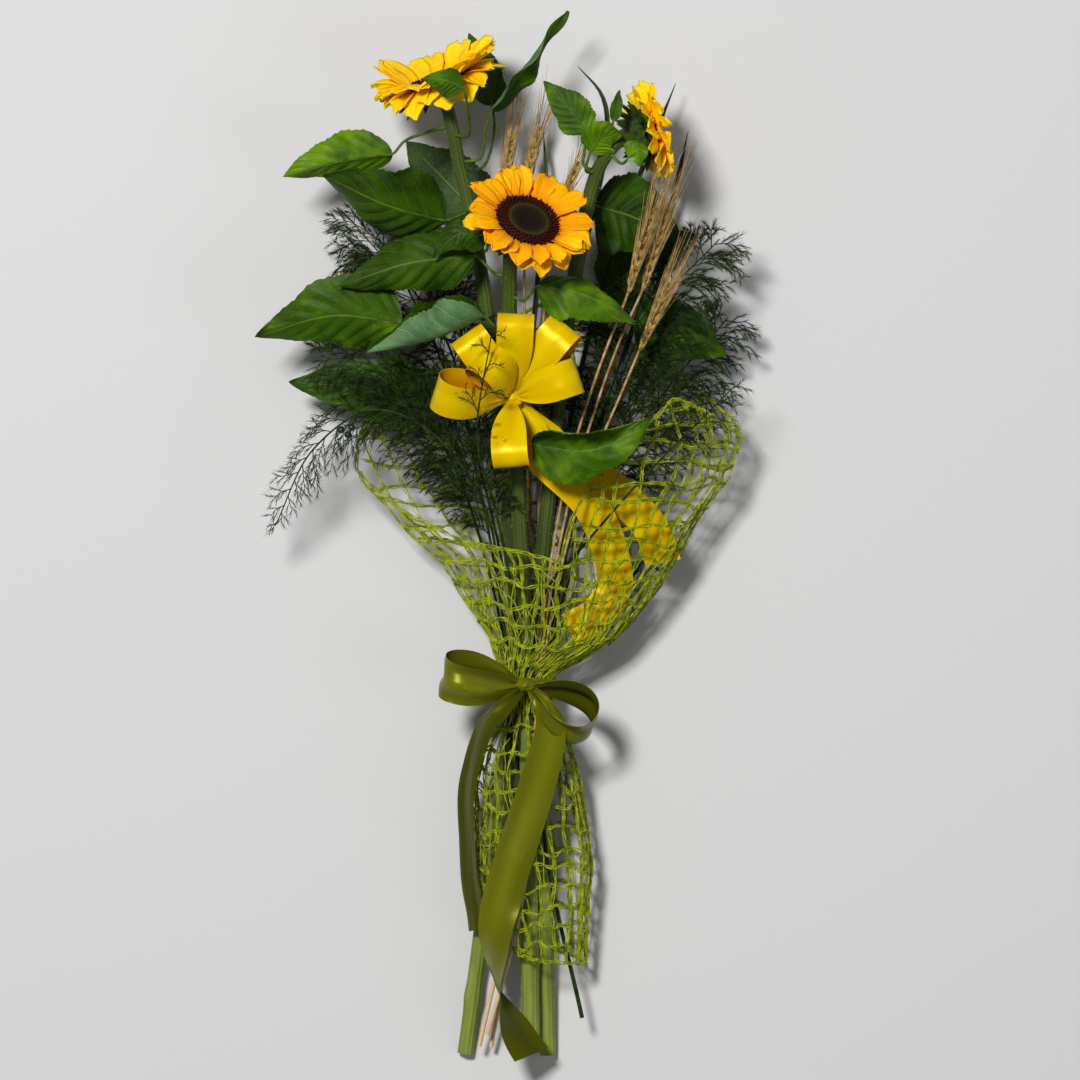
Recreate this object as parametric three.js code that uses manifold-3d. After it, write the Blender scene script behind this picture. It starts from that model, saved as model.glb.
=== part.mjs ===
// A florist's bunch of three sunflowers with leaves, fern, wheat and grass, in an open net with a yellow bow,
// tied with an olive ribbon. It lies on its back, front up: millimetres, +Z up, flowers towards +Y.
// Every piece is placed from the middle of the tie; at the end the whole bunch is centred over its footprint.
import * as THREE from 'three';
import { mergeVertices } from 'three/addons/utils/BufferGeometryUtils.js';
import Module from 'manifold-3d';

const wasm = await Module();
wasm.setup();

// Driving dimensions
const TIE_HEIGHT = 50; // middle of the tie above the table
const TOUCH = 0.35; // gap kept between pieces that lie against each other
const THIN_STEM_RING = 16.3; // fern, wheat and grass stems from the middle of the tie
const THIN_STEM_RADIUS = 1.2;
const STRAIGHT = { low: -20, high: 14 }; // every stem runs straight between these at the tie
const NET_WAIST_RADIUS = 21;
const NET_THICKNESS = 1.4;
const NET_STRAND_WIDTH = 3.6;
const BAND = { inner: 22.6, outer: 23.6, low: -2, high: 10 };
const ELASTIC = { inner: 18.2, outer: 19.1, low: -17, high: -12 };
const RIBBON_THICKNESS = 0.8;
const YELLOW_RIBBON_WIDTH = 31;
const OLIVE_RIBBON_WIDTH = 36;
const LEAF_THICKNESS = 0.9;
const FLATTENED = 0.1; // how far a leaf that lies on the table is pressed flat
const DISC_RADIUS = 25;
const RECEPTACLE_RADIUS = 27;

const COLOURS = {
  stem: 0x6f8f3a,
  petal: 0xf7b512,
  disc: 0x2a1512,
  leaf: 0x3c7a22,
  fern: 0x1f3a1c,
  wheat: 0xb59a5c,
  grass: 0x24371f,
  net: 0xa4b81c,
  yellowRibbon: 0xe8bc10,
  oliveRibbon: 0x5f661c,
  elastic: 0x0f5a63,
};
const ROUGHNESS = { yellowRibbon: 0.3, oliveRibbon: 0.35, stem: 0.55, leaf: 0.6 };

const bunch = new THREE.Group();
const placed = [];

// Small maths helpers

const vec = (x, y, z) => new THREE.Vector3(x, y, z);
const radians = THREE.MathUtils.degToRad;

function curveThrough(points) {
  return new THREE.CatmullRomCurve3(points.map((p) => vec(...p)), false, 'centripetal');
}

// A value read between the rows of a table of [key, value].
function between(key, table) {
  if (key <= table[0][0]) return table[0][1];
  for (let i = 1; i < table.length; i += 1) {
    const [low, before] = table[i - 1];
    const [high, after] = table[i];
    if (key <= high) return before + ((after - before) * (key - low)) / (high - low);
  }
  return table[table.length - 1][1];
}

// A seeded run of numbers from 0 to 1.
function draws(seed) {
  let state = seed;
  return () => {
    state = (state * 16807) % 2147483647;
    return state / 2147483647;
  };
}

// Solids

function solid(geometry) {
  const bare = geometry.clone();
  bare.deleteAttribute('normal');
  bare.deleteAttribute('uv');
  const merged = mergeVertices(bare, 1e-4);
  const corners = merged.index.array;
  const kept = [];
  for (let i = 0; i < corners.length; i += 3) {
    const [a, b, c] = [corners[i], corners[i + 1], corners[i + 2]];
    if (a !== b && b !== c && c !== a) kept.push(a, b, c);
  }
  const points = merged.attributes.position.array;
  const mesh = { numProp: 3, vertProperties: points, triVerts: new Uint32Array(kept) };
  const piece = new wasm.Manifold(new wasm.Mesh(mesh));
  if (piece.volume() > 0) return piece;
  return new wasm.Manifold(new wasm.Mesh({ ...mesh, triVerts: mesh.triVerts.reverse() }));
}

function fused(solids) {
  return solids.reduce((whole, piece) => whole.add(piece));
}

// A solid without the small pockets closed in where its parts cross.
function filled(piece) {
  return piece.decompose().reduce((largest, part) => (part.volume() > largest.volume() ? part : largest));
}

// A closed tube whose radius changes along a curve: a cylinder bent to follow it, with rings at the given
// percentages of its length.
function tube(curve, radiusAt, sides, stations) {
  const frames = curve.computeFrenetFrames(100, false);
  const steps = stations.length - 1;
  const geometry = new THREE.CylinderGeometry(1, 1, steps, sides, steps);
  const position = geometry.attributes.position;
  for (let i = 0; i < position.count; i += 1) {
    const station = stations[Math.round(position.getY(i) + steps / 2)];
    const radius = radiusAt(station / 100);
    const point = curve
      .getPointAt(station / 100)
      .addScaledVector(frames.binormals[station], position.getX(i) * radius)
      .addScaledVector(frames.normals[station], position.getZ(i) * radius);
    position.setXYZ(i, point.x, point.y, point.z);
  }
  return solid(geometry);
}

function evenStations(count) {
  return Array.from({ length: count + 1 }, (_, i) => Math.round((100 * i) / count));
}

// Stations for a stem that goes up through the tie, with a ring at each end of its straight part.
function stemStations(curve, below, above) {
  const heightAt = (station) => curve.getPointAt(station / 100).y;
  const all = evenStations(100);
  const low = all.findLast((station) => heightAt(station) <= STRAIGHT.low);
  const high = all.find((station) => heightAt(station) >= STRAIGHT.high);
  const under = Array.from({ length: below }, (_, i) => Math.round((low * i) / below));
  const over = Array.from({ length: above }, (_, i) => Math.round(high + ((100 - high) * (i + 1)) / above));
  return [...under, low, high, ...over];
}

// A thin three-sided spike from a root point along a direction, such as a needle or an awn.
function spike(root, direction, length, radius) {
  const geometry = new THREE.TetrahedronGeometry(1);
  const aim = direction.clone().normalize();
  geometry.applyQuaternion(new THREE.Quaternion().setFromUnitVectors(vec(1, 1, 1).normalize(), vec(0, 0, 1)));
  geometry.scale(radius * 1.06, radius * 1.06, 0.75);
  geometry.translate(0, 0, 0.25);
  geometry.scale(1, 1, length);
  geometry.applyQuaternion(new THREE.Quaternion().setFromUnitVectors(vec(0, 0, 1), aim));
  geometry.translate(root.x, root.y, root.z);
  return solid(geometry);
}

// A narrow blade with a keel under its middle: rows of [left, right, keel] points that end in a tip.
function keeledBlade(rows, tip) {
  const positions = rows.flat().concat([tip]).flatMap((point) => point.toArray());
  const last = 3 * rows.length;
  const index = [0, 1, 2];
  for (let i = 0; i < rows.length; i += 1) {
    for (let k = 0; k < 3; k += 1) {
      const [a, b] = [3 * i + k, 3 * i + ((k + 1) % 3)];
      if (i === rows.length - 1) index.push(a, last, b);
      else index.push(a, a + 3, b, b, a + 3, b + 3);
    }
  }
  const geometry = new THREE.BufferGeometry();
  geometry.setAttribute('position', new THREE.Float32BufferAttribute(positions, 3));
  geometry.setIndex(index);
  return solid(geometry);
}

// A thin sheet over the points surface(u, v), split into triangles alike on both faces. Sharp edges taper to
// nothing.
function thinSheet(rowShares, columns, surface, thickness, sharpEdges) {
  const rows = rowShares.length - 1;
  const middle = rowShares.map((u) => {
    const row = [];
    for (let j = 0; j <= columns; j += 1) row.push(surface(u, (2 * j) / columns - 1));
    return row;
  });
  const positions = [];
  const faceOf = (i, j) => {
    const above = middle[Math.min(i + 1, rows)][j];
    const below = middle[Math.max(i - 1, 0)][j];
    const near = i === rows ? rows - 1 : i;
    const across = middle[near][Math.min(j + 1, columns)].clone().sub(middle[near][Math.max(j - 1, 0)]);
    return above.clone().sub(below).cross(across).normalize();
  };
  for (const side of [1, -1]) {
    for (let i = 0; i <= rows; i += 1) {
      for (let j = 0; j <= columns; j += 1) {
        const thin = sharpEdges && (j === 0 || j === columns || i === rows);
        const half = thin ? 0 : (side * thickness) / 2;
        positions.push(...middle[i][j].clone().addScaledVector(faceOf(i, j), -half).toArray());
      }
    }
  }
  const under = (rows + 1) * (columns + 1);
  const at = (i, j) => i * (columns + 1) + j;
  const index = [];
  const quad = (a, b, c, d) => index.push(a, b, c, a, c, d);
  for (let i = 0; i < rows; i += 1) {
    for (let j = 0; j < columns; j += 1) {
      const [a, b, c, d] = [at(i, j), at(i, j + 1), at(i + 1, j + 1), at(i + 1, j)];
      quad(a, b, c, d);
      index.push(under + a, under + c, under + b, under + a, under + d, under + c);
    }
    quad(at(i, 0), at(i + 1, 0), under + at(i + 1, 0), under + at(i, 0));
    quad(at(i + 1, columns), at(i, columns), under + at(i, columns), under + at(i + 1, columns));
  }
  for (let j = 0; j < columns; j += 1) {
    quad(at(0, j + 1), at(0, j), under + at(0, j), under + at(0, j + 1));
    quad(at(rows, j), at(rows, j + 1), under + at(rows, j + 1), under + at(rows, j));
  }
  const geometry = new THREE.BufferGeometry();
  geometry.setAttribute('position', new THREE.Float32BufferAttribute(positions, 3));
  geometry.setIndex(index);
  return solid(geometry);
}

function evenShares(count) {
  return Array.from({ length: count + 1 }, (_, i) => i / count);
}

// A solid turned about the Z axis from a closed profile of [radius, height].
function turned(profile, segments) {
  const geometry = new THREE.LatheGeometry(profile.map(([r, h]) => new THREE.Vector2(r, h)), segments);
  geometry.rotateX(Math.PI / 2);
  return geometry;
}

// Placing pieces in the bunch

function boxesApart(a, b, gap) {
  return [0, 1, 2].some((k) => a.min[k] > b.max[k] + gap || b.min[k] > a.max[k] + gap);
}

function isClear(piece, own = []) {
  const box = piece.boundingBox();
  if (box.min[2] < TOUCH) return false;
  return placed.every(
    (other) => own.includes(other.name)
      || boxesApart(box, other.box, TOUCH)
      || piece.minGap(other.solid, 1) >= TOUCH,
  );
}

function place(name, piece, finish) {
  const data = piece.getMesh();
  const geometry = new THREE.BufferGeometry();
  geometry.setAttribute('position', new THREE.BufferAttribute(data.vertProperties, 3));
  geometry.setIndex(new THREE.BufferAttribute(data.triVerts, 1));
  const material = new THREE.MeshStandardMaterial({
    color: COLOURS[finish],
    roughness: ROUGHNESS[finish] ?? 0.75,
    metalness: 0,
  });
  const mesh = new THREE.Mesh(geometry, material);
  mesh.name = name;
  bunch.add(mesh);
  placed.push({ name, solid: piece, box: piece.boundingBox() });
}

// Sunflower stems and blooms

const SUNFLOWERS = {
  front: {
    centre: [0, 394, 168],
    faces: [0.3, 0.64, 0.71],
    route: [[-13, 366, 139], [-15, 335, 121], [-12, 248, 97], [-4, 100, 66], [0, 12, 58.3], [0, -20, 58.3],
      [1, -100, 49], [3, -296, 24]],
    radii: [[0, 8], [0.36, 7], [0.5, 7], [0.8, 6.6], [1, 6]],
    size: 1,
    petals: { length: 30, width: 17, lifts: [26, 10], bends: [0.25, 0.2], seed: 11 },
  },
  left: {
    centre: [-74, 515, 98],
    faces: [-0.33, 0.93, 0.12],
    route: [[-64, 480, 94], [-59, 453, 89], [-45, 390, 82], [-25, 250, 68], [-12, 100, 54], [-7.2, 12, 45.9],
      [-7.2, -20, 45.9], [-22, -90, 33], [-53, -313, 6.3]],
    radii: [[0, 6.8], [0.3, 7], [0.45, 7], [0.8, 6], [1, 5.5]],
    size: 1,
    petals: { length: 31, width: 17, lifts: [44, 30], bends: [0.25, 0.25], seed: 23 },
  },
  right: {
    centre: [100, 472, 98],
    faces: [0.88, 0.28, -0.38],
    route: [[76, 464, 112], [66, 452, 110], [56, 430, 102], [37, 331, 85], [18, 161, 64], [9, 60, 52],
      [7.2, 12, 45.9], [7.2, -20, 45.9], [10, -60, 40], [18, -314, 6.3]],
    radii: [[0, 7], [0.3, 7], [0.45, 7], [0.8, 6.2], [1, 5.5]],
    size: 0.8,
    petals: { length: 31, width: 17, lifts: [48, 34], bends: [0.3, 0.3], seed: 37 },
  },
};
const PETALS_A_LAYER = 12;
const BRACTS = 9;

// Maps a bloom's own frame, with Z along the way it faces, into the bunch at the bloom's share of full size.
function bloomFrame({ centre, faces, size }) {
  const turn = new THREE.Quaternion().setFromUnitVectors(vec(0, 0, 1), vec(...faces).normalize());
  return new THREE.Matrix4().compose(vec(...centre), turn, vec(size, size, size));
}

function stemCurve(flower) {
  const back = vec(...flower.faces).normalize().multiplyScalar(-12);
  const neck = vec(...flower.centre).add(back);
  return curveThrough([neck.toArray(), ...flower.route].reverse());
}

// A ray petal: it leaves the ring at an angle, arches over and ends in a point.
function petal(frame, { angle, root, length, width, lift, bend, height }) {
  const place3 = (reach, side, rise) =>
    vec(reach, side, rise).applyAxisAngle(vec(0, 0, 1), angle).applyMatrix4(frame);
  const riseAt = (u) => height + length * (Math.tan(radians(lift)) * u - bend * u * u);
  const rows = [[0, 0.45, 0.5], [0.34, 0.92, 1.6], [0.78, 0.88, 1.3]].map(([u, share, keel]) => {
    const reach = root + length * u;
    const half = (width / 2) * share;
    return [
      place3(reach, half, riseAt(u) + 0.6),
      place3(reach, -half, riseAt(u) + 0.6),
      place3(reach, 0, riseAt(u) - keel),
    ];
  });
  return keeledBlade(rows, place3(root + length, 0, riseAt(1)));
}

function petalRing(flower) {
  const frame = bloomFrame(flower);
  const { length, width, lifts, bends, seed } = flower.petals;
  const random = draws(seed);
  const profile = [[26.4, TOUCH], [29, TOUCH], [29, 4.8], [26.4, 4.8], [26.4, TOUCH]];
  const pieces = [solid(turned(profile, 12).applyMatrix4(frame))];
  for (let layer = 0; layer < 2; layer += 1) {
    for (let k = 0; k < PETALS_A_LAYER; k += 1) {
      pieces.push(
        petal(frame, {
          angle: (2 * Math.PI * (k + layer / 2)) / PETALS_A_LAYER + 0.04 * (random() - 0.5),
          root: 27.4,
          length: length * (0.9 + 0.2 * random()) - 2 * layer,
          width,
          lift: lifts[layer] + 7 * (random() - 0.5),
          bend: bends[layer],
          height: 2.9 - 1.7 * layer,
        }),
      );
    }
  }
  return fused(pieces);
}

// The seed disc: a low dome whose florets stand up where two sets of spirals cross.
function seedDisc(flower) {
  const dome = [[0, 4.4], [5, 4.8], [10, 5.8], [15, 6.7], [20, 6.5], [DISC_RADIUS, 3], [DISC_RADIUS, TOUCH]];
  const geometry = turned([...dome, [0, TOUCH]].reverse(), 26);
  const position = geometry.attributes.position;
  for (let i = 0; i < position.count; i += 1) {
    const [x, y, z] = [position.getX(i), position.getY(i), position.getZ(i)];
    const radius = Math.hypot(x, y);
    if (radius < 3 || radius > DISC_RADIUS - 1 || z < 1) continue;
    const angle = Math.atan2(y, x);
    const floret = Math.cos(13 * angle + 5 * Math.log(radius));
    position.setZ(i, z + 1.1 * floret);
  }
  return solid(geometry.applyMatrix4(bloomFrame(flower)));
}

// One stem with its receptacle and the ring of pointed green bracts behind the petals.
function stemWithReceptacle(flower) {
  const frame = bloomFrame(flower);
  const curve = stemCurve(flower);
  const stem = tube(curve, (share) => between(share, flower.radii), 7, stemStations(curve, 3, 7));
  const profile = [[0, -16], [20, -8], [RECEPTACLE_RADIUS, -2], [RECEPTACLE_RADIUS, 0], [0, 0]];
  const pieces = [stem, solid(turned(profile, 13).applyMatrix4(frame))];
  for (let k = 0; k < BRACTS; k += 1) {
    const angle = (2 * Math.PI * (k + 0.5)) / BRACTS;
    const axis = vec(0, 0, 1);
    const at = (reach, side, drop) => vec(reach, side, drop).applyAxisAngle(axis, angle).applyMatrix4(frame);
    const low = -5 - (k % 2) * 1.5;
    pieces.push(keeledBlade([[at(20, 7, low), at(20, -7, low), at(20, 0, low - 2.4)]], at(42, 0, low - 5)));
  }
  return fused(pieces).trimByPlane([0, 0, 1], 0);
}

for (const [name, flower] of Object.entries(SUNFLOWERS)) {
  place(`stem_${name}`, stemWithReceptacle(flower), 'stem');
  place(`petals_${name}`, petalRing(flower), 'petal');
  place(`disc_${name}`, seedDisc(flower), 'disc');
}

// Leaves: each has its stem, the route of its stalk, its midrib from base to tip, the way its upper side
// looks, its width, how far its left and right halves fold and curl up in degrees, and the wave of its edge.

const LEAVES = [
  { name: 'leaf_left_top', stem: 'left', stalk: [[-84, 474, 95], [-104, 466, 97]],
    midrib: [[-114, 455, 98], [-165, 447, 101], [-207, 436, 96]],
    up: [0, 0.1, 1], width: 50, fold: [-65, 12], curl: [0, -12], wave: 1.5 },
  { name: 'leaf_left_big', stem: 'left', stalk: [[-54, 404, 98]],
    midrib: [[-70, 398, 112], [-118, 411, 116], [-173, 437, 112]],
    up: [0.1, -0.15, 1], width: 96, fold: [-45, 22], curl: [-10, 16], wave: 3 },
  { name: 'leaf_left_mid', stem: 'front', stalk: [[-26, 352, 128]],
    midrib: [[-44, 368, 130], [-98, 362, 128], [-160, 342, 116]],
    up: [0, -0.35, 1], width: 60, fold: [10, -40], curl: [-20, -10], wave: 2.5 },
  { name: 'leaf_left_low', stem: 'left', stalk: [[-60, 296, 92]],
    midrib: [[-106, 312, 100], [-165, 318, 104], [-230, 300, 90]],
    up: [0, 0, 1], width: 70, fold: [-25, 12], curl: [-15, -12], wave: 3 },
  { name: 'leaf_front_left', stem: 'front', stalk: [[-25, 306, 134]],
    midrib: [[-36, 316, 143], [-85, 296, 138], [-136, 285, 148]],
    up: [-0.1, 0.35, 1], width: 66, fold: [38, 24], curl: [36, 24], wave: 6 },
  { name: 'leaf_left_back', stem: 'left', stalk: [[-48, 238, 58]],
    midrib: [[-78, 250, 60], [-140, 258, 63], [-203, 262, 56]],
    up: [0, 0.1, 1], width: 56, fold: [-8, 8], curl: [-6, -5], wave: 2.5 },
  { name: 'leaf_under_bloom', stem: 'front', stalk: [[-26, 372, 142]],
    midrib: [[-34, 380, 146], [-56, 386, 150], [-80, 366, 140]],
    up: [0.1, -0.3, 1], width: 32, fold: [20, -15], curl: [20, -20], wave: 2, small: true },
  { name: 'leaf_right_front', stem: 'front', stalk: [[-2, 330, 134]],
    midrib: [[9, 342, 142], [48, 334, 148], [92, 312, 138]],
    up: [0, 0.2, 1], width: 50, fold: [-30, -12], curl: [-15, -10], wave: 2 },
  { name: 'leaf_tail_right', stem: 'front', stalk: [[-6, 190, 108]],
    midrib: [[4, 208, 118], [56, 204, 130], [108, 232, 136]],
    up: [-0.1, 0.1, 1], width: 64, fold: [24, 14], curl: [38, 12], wave: 3 },
  { name: 'leaf_right_big', stem: 'right', stalk: [[52, 402, 84]],
    midrib: [[58, 412, 72], [92, 402, 64], [134, 378, 54]],
    up: [0, 0, 1], width: 72, fold: [-6, 6], curl: [-8, -6], wave: 2 },
  { name: 'leaf_right_low', stem: 'right', stalk: [[52, 300, 66]],
    midrib: [[92, 312, 56], [130, 304, 54], [170, 286, 46]],
    up: [0, 0, 1], width: 60, fold: [-8, 8], curl: [-10, -6], wave: 2.5 },
  { name: 'leaf_right_top', stem: 'right', stalk: [[48, 446, 96]],
    midrib: [[51, 474, 92], [36, 494, 92], [14, 517, 86]],
    up: [0.1, 0, 1], width: 34, fold: [-14, 12], curl: [0, 0], wave: 1.2, small: true },
  { name: 'leaf_right_fold', stem: 'right', stalk: [[50, 440, 116]],
    midrib: [[54, 456, 122], [66, 468, 128], [80, 470, 126]],
    up: [0, -0.2, 1], width: 34, fold: [12, -22], curl: [0, 0], wave: 1.2, small: true },
  { name: 'leaf_right_small', stem: 'right', stalk: [[80, 446, 122]],
    midrib: [[86, 450, 132], [93, 454, 138], [96, 444, 138]],
    up: [0.2, 0, 1], width: 24, fold: [-14, -14], curl: [0, 0], wave: 0.6, small: true },
  { name: 'leaf_right_narrow', stem: 'right', stalk: [[70, 468, 120]],
    midrib: [[73, 482, 126], [76, 496, 128], [78, 508, 126]],
    up: [0.3, 0, 1], width: 11, fold: [14, 14], curl: [0, 0], wave: 0.4, small: true },
  { name: 'leaf_top_tall', stem: 'left', stalk: [[-40, 452, 92], [-36, 474, 94]],
    midrib: [[-30, 492, 96], [-4, 524, 102], [34, 577, 98]],
    up: [0.62, -0.5, 0.45], width: 38, fold: [18, 12], curl: [10, -10], wave: 3 },
  { name: 'leaf_top_back', stem: 'left', stalk: [[-36, 448, 52], [-28, 480, 30]],
    midrib: [[-30, 500, 24], [-38, 530, 22], [-50, 562, 20]],
    up: [0, 0, 1], width: 42, fold: [8, -10], curl: [0, 0], wave: 1.5, small: true },
  { name: 'leaf_left_bloom', stem: 'left', stalk: [[-50, 470, 118], [-50, 492, 150]],
    midrib: [[-54, 508, 164], [-68, 514, 167], [-88, 516, 164]],
    up: [0, -0.2, 1], width: 38, fold: [-12, -50], curl: [0, 0], wave: 1, small: true },
  { name: 'leaf_back_left', stem: 'left', stalk: [[-34, 376, 50], [-36, 392, 22]],
    midrib: [[-44, 408, 8], [-70, 436, 0.4], [-104, 470, 0.4]],
    up: [0, 0, 1], width: 62, fold: [0, 0], curl: [0, 0], wave: 0, rests: true },
  { name: 'leaf_back_right', stem: 'right', stalk: [[46, 312, 46], [56, 328, 20]],
    midrib: [[66, 340, 8], [96, 364, 0.4], [140, 392, 0.4]],
    up: [0, 0, 1], width: 64, fold: [0, 0], curl: [0, 0], wave: 0, rests: true },
];

const LARGE_LEAF_ROWS = [0.02, 0.14, 0.34, 0.58, 0.82, 1];
const SMALL_LEAF_ROWS = [0.02, 0.2, 0.48, 0.78, 1];

// Heart-based and drawn out to a point: the share of the width at a share of the length.
function leafOutline(share) {
  return Math.sin(Math.PI * share ** 0.62) ** 0.85;
}

function leafSurface(leaf) {
  const midrib = curveThrough(leaf.midrib);
  const up = vec(...leaf.up).normalize();
  return (u, v) => {
    const along = midrib.getTangent(u);
    const side = along.clone().cross(up).normalize();
    const face = side.clone().cross(along);
    const half = v > 0 ? 1 : 0;
    const reach = (leaf.width / 2) * leafOutline(u) * Math.abs(v);
    const angle = radians(leaf.fold[half] + leaf.curl[half] * Math.abs(v));
    const ripple = leaf.wave * v * v * Math.sin(4 * Math.PI * u + 2 * half);
    const point = midrib.getPoint(u)
      .addScaledVector(side, Math.sign(v) * reach * Math.cos(angle))
      .addScaledVector(face, reach * Math.sin(angle) + ripple);
    if (leaf.rests) point.z = Math.max(point.z, LEAF_THICKNESS / 2 - FLATTENED);
    return point;
  };
}

// The point just under a stem's surface that faces the given point.
function besideStem(flower, towards) {
  const curve = stemCurve(flower);
  const stations = stemStations(curve, 3, 7);
  let best = { distance: Infinity };
  for (let i = 1; i < stations.length; i += 1) {
    const [low, high] = [stations[i - 1] / 100, stations[i] / 100];
    const line = new THREE.Line3(curve.getPointAt(low), curve.getPointAt(high));
    const along = line.closestPointToPointParameter(towards, true);
    const centre = line.at(along, vec(0, 0, 0));
    const distance = centre.distanceTo(towards);
    if (distance < best.distance) best = { distance, centre, share: low + (high - low) * along };
  }
  const away = towards.clone().sub(best.centre).normalize();
  return best.centre.addScaledVector(away, between(best.share, flower.radii) - 1);
}

// The leaf's stalk ends flush against its stem, a touch away from it.
function leafWithStalk(leaf) {
  const flower = SUNFLOWERS[leaf.stem];
  const surface = leafSurface(leaf);
  const root = besideStem(flower, vec(...leaf.stalk[0]));
  const route = curveThrough([root.toArray(), ...leaf.stalk, leaf.midrib[0], surface(0.07, 0).toArray()]);
  const stalk = tube(route, (share) => 2 - 0.8 * share, 3, evenStations(4));
  const blade = leaf.small
    ? thinSheet(SMALL_LEAF_ROWS, 2, surface, LEAF_THICKNESS, true)
    : thinSheet(LARGE_LEAF_ROWS, 4, surface, LEAF_THICKNESS, true);
  const curve = stemCurve(flower);
  const clear = (share) => between(share, flower.radii) + TOUCH + 0.1;
  const seat = tube(curve, clear, 7, stemStations(curve, 3, 7));
  return fused([stalk, blade]).subtract(seat).trimByPlane([0, 0, 1], 0);
}

for (const leaf of LEAVES) place(leaf.name, leafWithStalk(leaf), 'leaf');

// Ribbons

// A ribbon that follows a route of centre points, lying along the given width directions.
function ribbonStrip(centres, widthDirections, width, rows, pinch = () => 1) {
  const route = curveThrough(centres);
  const across = curveThrough(widthDirections);
  const surface = (u, v) => {
    const side = across.getPoint(u).normalize();
    return route.getPoint(u).addScaledVector(side, (v * width * pinch(u)) / 2);
  };
  return thinSheet(evenShares(rows), 1, surface, RIBBON_THICKNESS, false);
}

// A ribbon loop shaped like a drop: it leaves the knot along a direction, bulges and comes back, drawn in at
// the knot.
function ribbonLoop({ knot, out, across, length, bulge, width }) {
  const outward = vec(...out).normalize();
  const side = vec(...across).addScaledVector(outward, -vec(...across).dot(outward)).normalize();
  const lift = side.clone().cross(outward);
  const surface = (u, v) => {
    const share = 0.06 + 0.88 * u;
    const swell = Math.sin(Math.PI * share);
    const drawnIn = 0.16 + 0.84 * swell ** 1.2;
    return vec(...knot)
      .addScaledVector(outward, 3 + (length - 3) * swell ** 2)
      .addScaledVector(lift, 1.3 * bulge * Math.sin(2 * Math.PI * share) * swell)
      .addScaledVector(side, (v * width * drawnIn) / 2);
  };
  return thinSheet(evenShares(7), 1, surface, RIBBON_THICKNESS, false);
}

function knotSolid(centre, radii) {
  const geometry = new THREE.SphereGeometry(1, 7, 4);
  geometry.scale(...radii);
  geometry.translate(...centre);
  return solid(geometry);
}

const BOW_KNOT = [-13, 248, 112.5];
const BOW_LOOPS = [
  { out: [0.05, 0.95, 0.45], across: [1, 0, 0], length: 52, bulge: 13 },
  { out: [0.66, 0.72, 0.3], across: [0.7, -0.6, 0.2], length: 60, bulge: 12 },
  { out: [0.98, 0.25, 0.3], across: [0, 1, 0.1], length: 60, bulge: 14 },
  { out: [0.1, 0.4, 0.95], across: [0.85, -0.45, 0.1], length: 44, bulge: 14 },
  { out: [-0.95, 0.02, 0.4], across: [0.2, 0.8, 0.5], length: 62, bulge: 15 },
  { out: [-0.6, 0.75, 0.35], across: [0.7, 0.6, 0], length: 58, bulge: 11 },
  { out: [0, -0.9, 0.55], across: [0.95, 0, 0.2], length: 58, bulge: 13 },
];
const BOW_TAILS = [
  { centres: [[-12, 246, 106], [2, 222, 106], [14, 198, 103], [52, 160, 98], [72, 110, 78], [74, 84, 66],
    [60, 66, 72], [34, 52, 74]],
    across: [[1, 0.2, 0.2], [1, 0.5, 0.1], [0.8, 0.6, 0], [0.7, 0.7, 0.1], [0.95, 0.3, 0.1],
      [0.8, -0.6, 0.1], [0.3, 0.95, 0.1], [0.4, 0.9, 0.1]] },
  { centres: [[-8, 246, 108], [30, 200, 90], [76, 168, 84], [106, 136, 74], [116, 108, 62]],
    across: [[1, 0.2, 0.2], [0.8, 0.6, 0], [0.6, 0.7, 0.2], [0.9, 0.35, 0.2], [0.95, 0.2, 0.2]] },
];

// The bow's own narrow tie, which holds its knot against the front stem.
function bowTie() {
  const curve = stemCurve(SUNFLOWERS.front);
  const share = evenShares(400).reduce((best, s) => {
    const off = (t) => Math.abs(curve.getPointAt(t).y - BOW_KNOT[1]);
    return off(s) < off(best) ? s : best;
  });
  const turn = new THREE.Quaternion().setFromUnitVectors(vec(0, 0, 1), curve.getTangentAt(share));
  const inner = between(share, SUNFLOWERS.front.radii) + TOUCH;
  const outer = inner + 2;
  const profile = [[inner, -4], [outer, -4], [outer, 4], [inner, 4], [inner, -4]];
  const frame = new THREE.Matrix4().compose(curve.getPointAt(share), turn, vec(1, 1, 1));
  return solid(turned(profile, 12).applyMatrix4(frame));
}

function yellowBow() {
  const loops = BOW_LOOPS.map((loop) => ribbonLoop({ ...loop, knot: BOW_KNOT, width: YELLOW_RIBBON_WIDTH }));
  const tails = BOW_TAILS.map(({ centres, across }) => ribbonStrip(centres, across, YELLOW_RIBBON_WIDTH, 11,
    (u) => between(u, [[0, 0.25], [0.15, 0.9], [0.25, 1]])));
  return filled(fused([bowTie(), knotSolid(BOW_KNOT, [10, 9, 8]), ...loops, ...tails]));
}

place('bow_yellow', yellowBow(), 'yellowRibbon');

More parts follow.
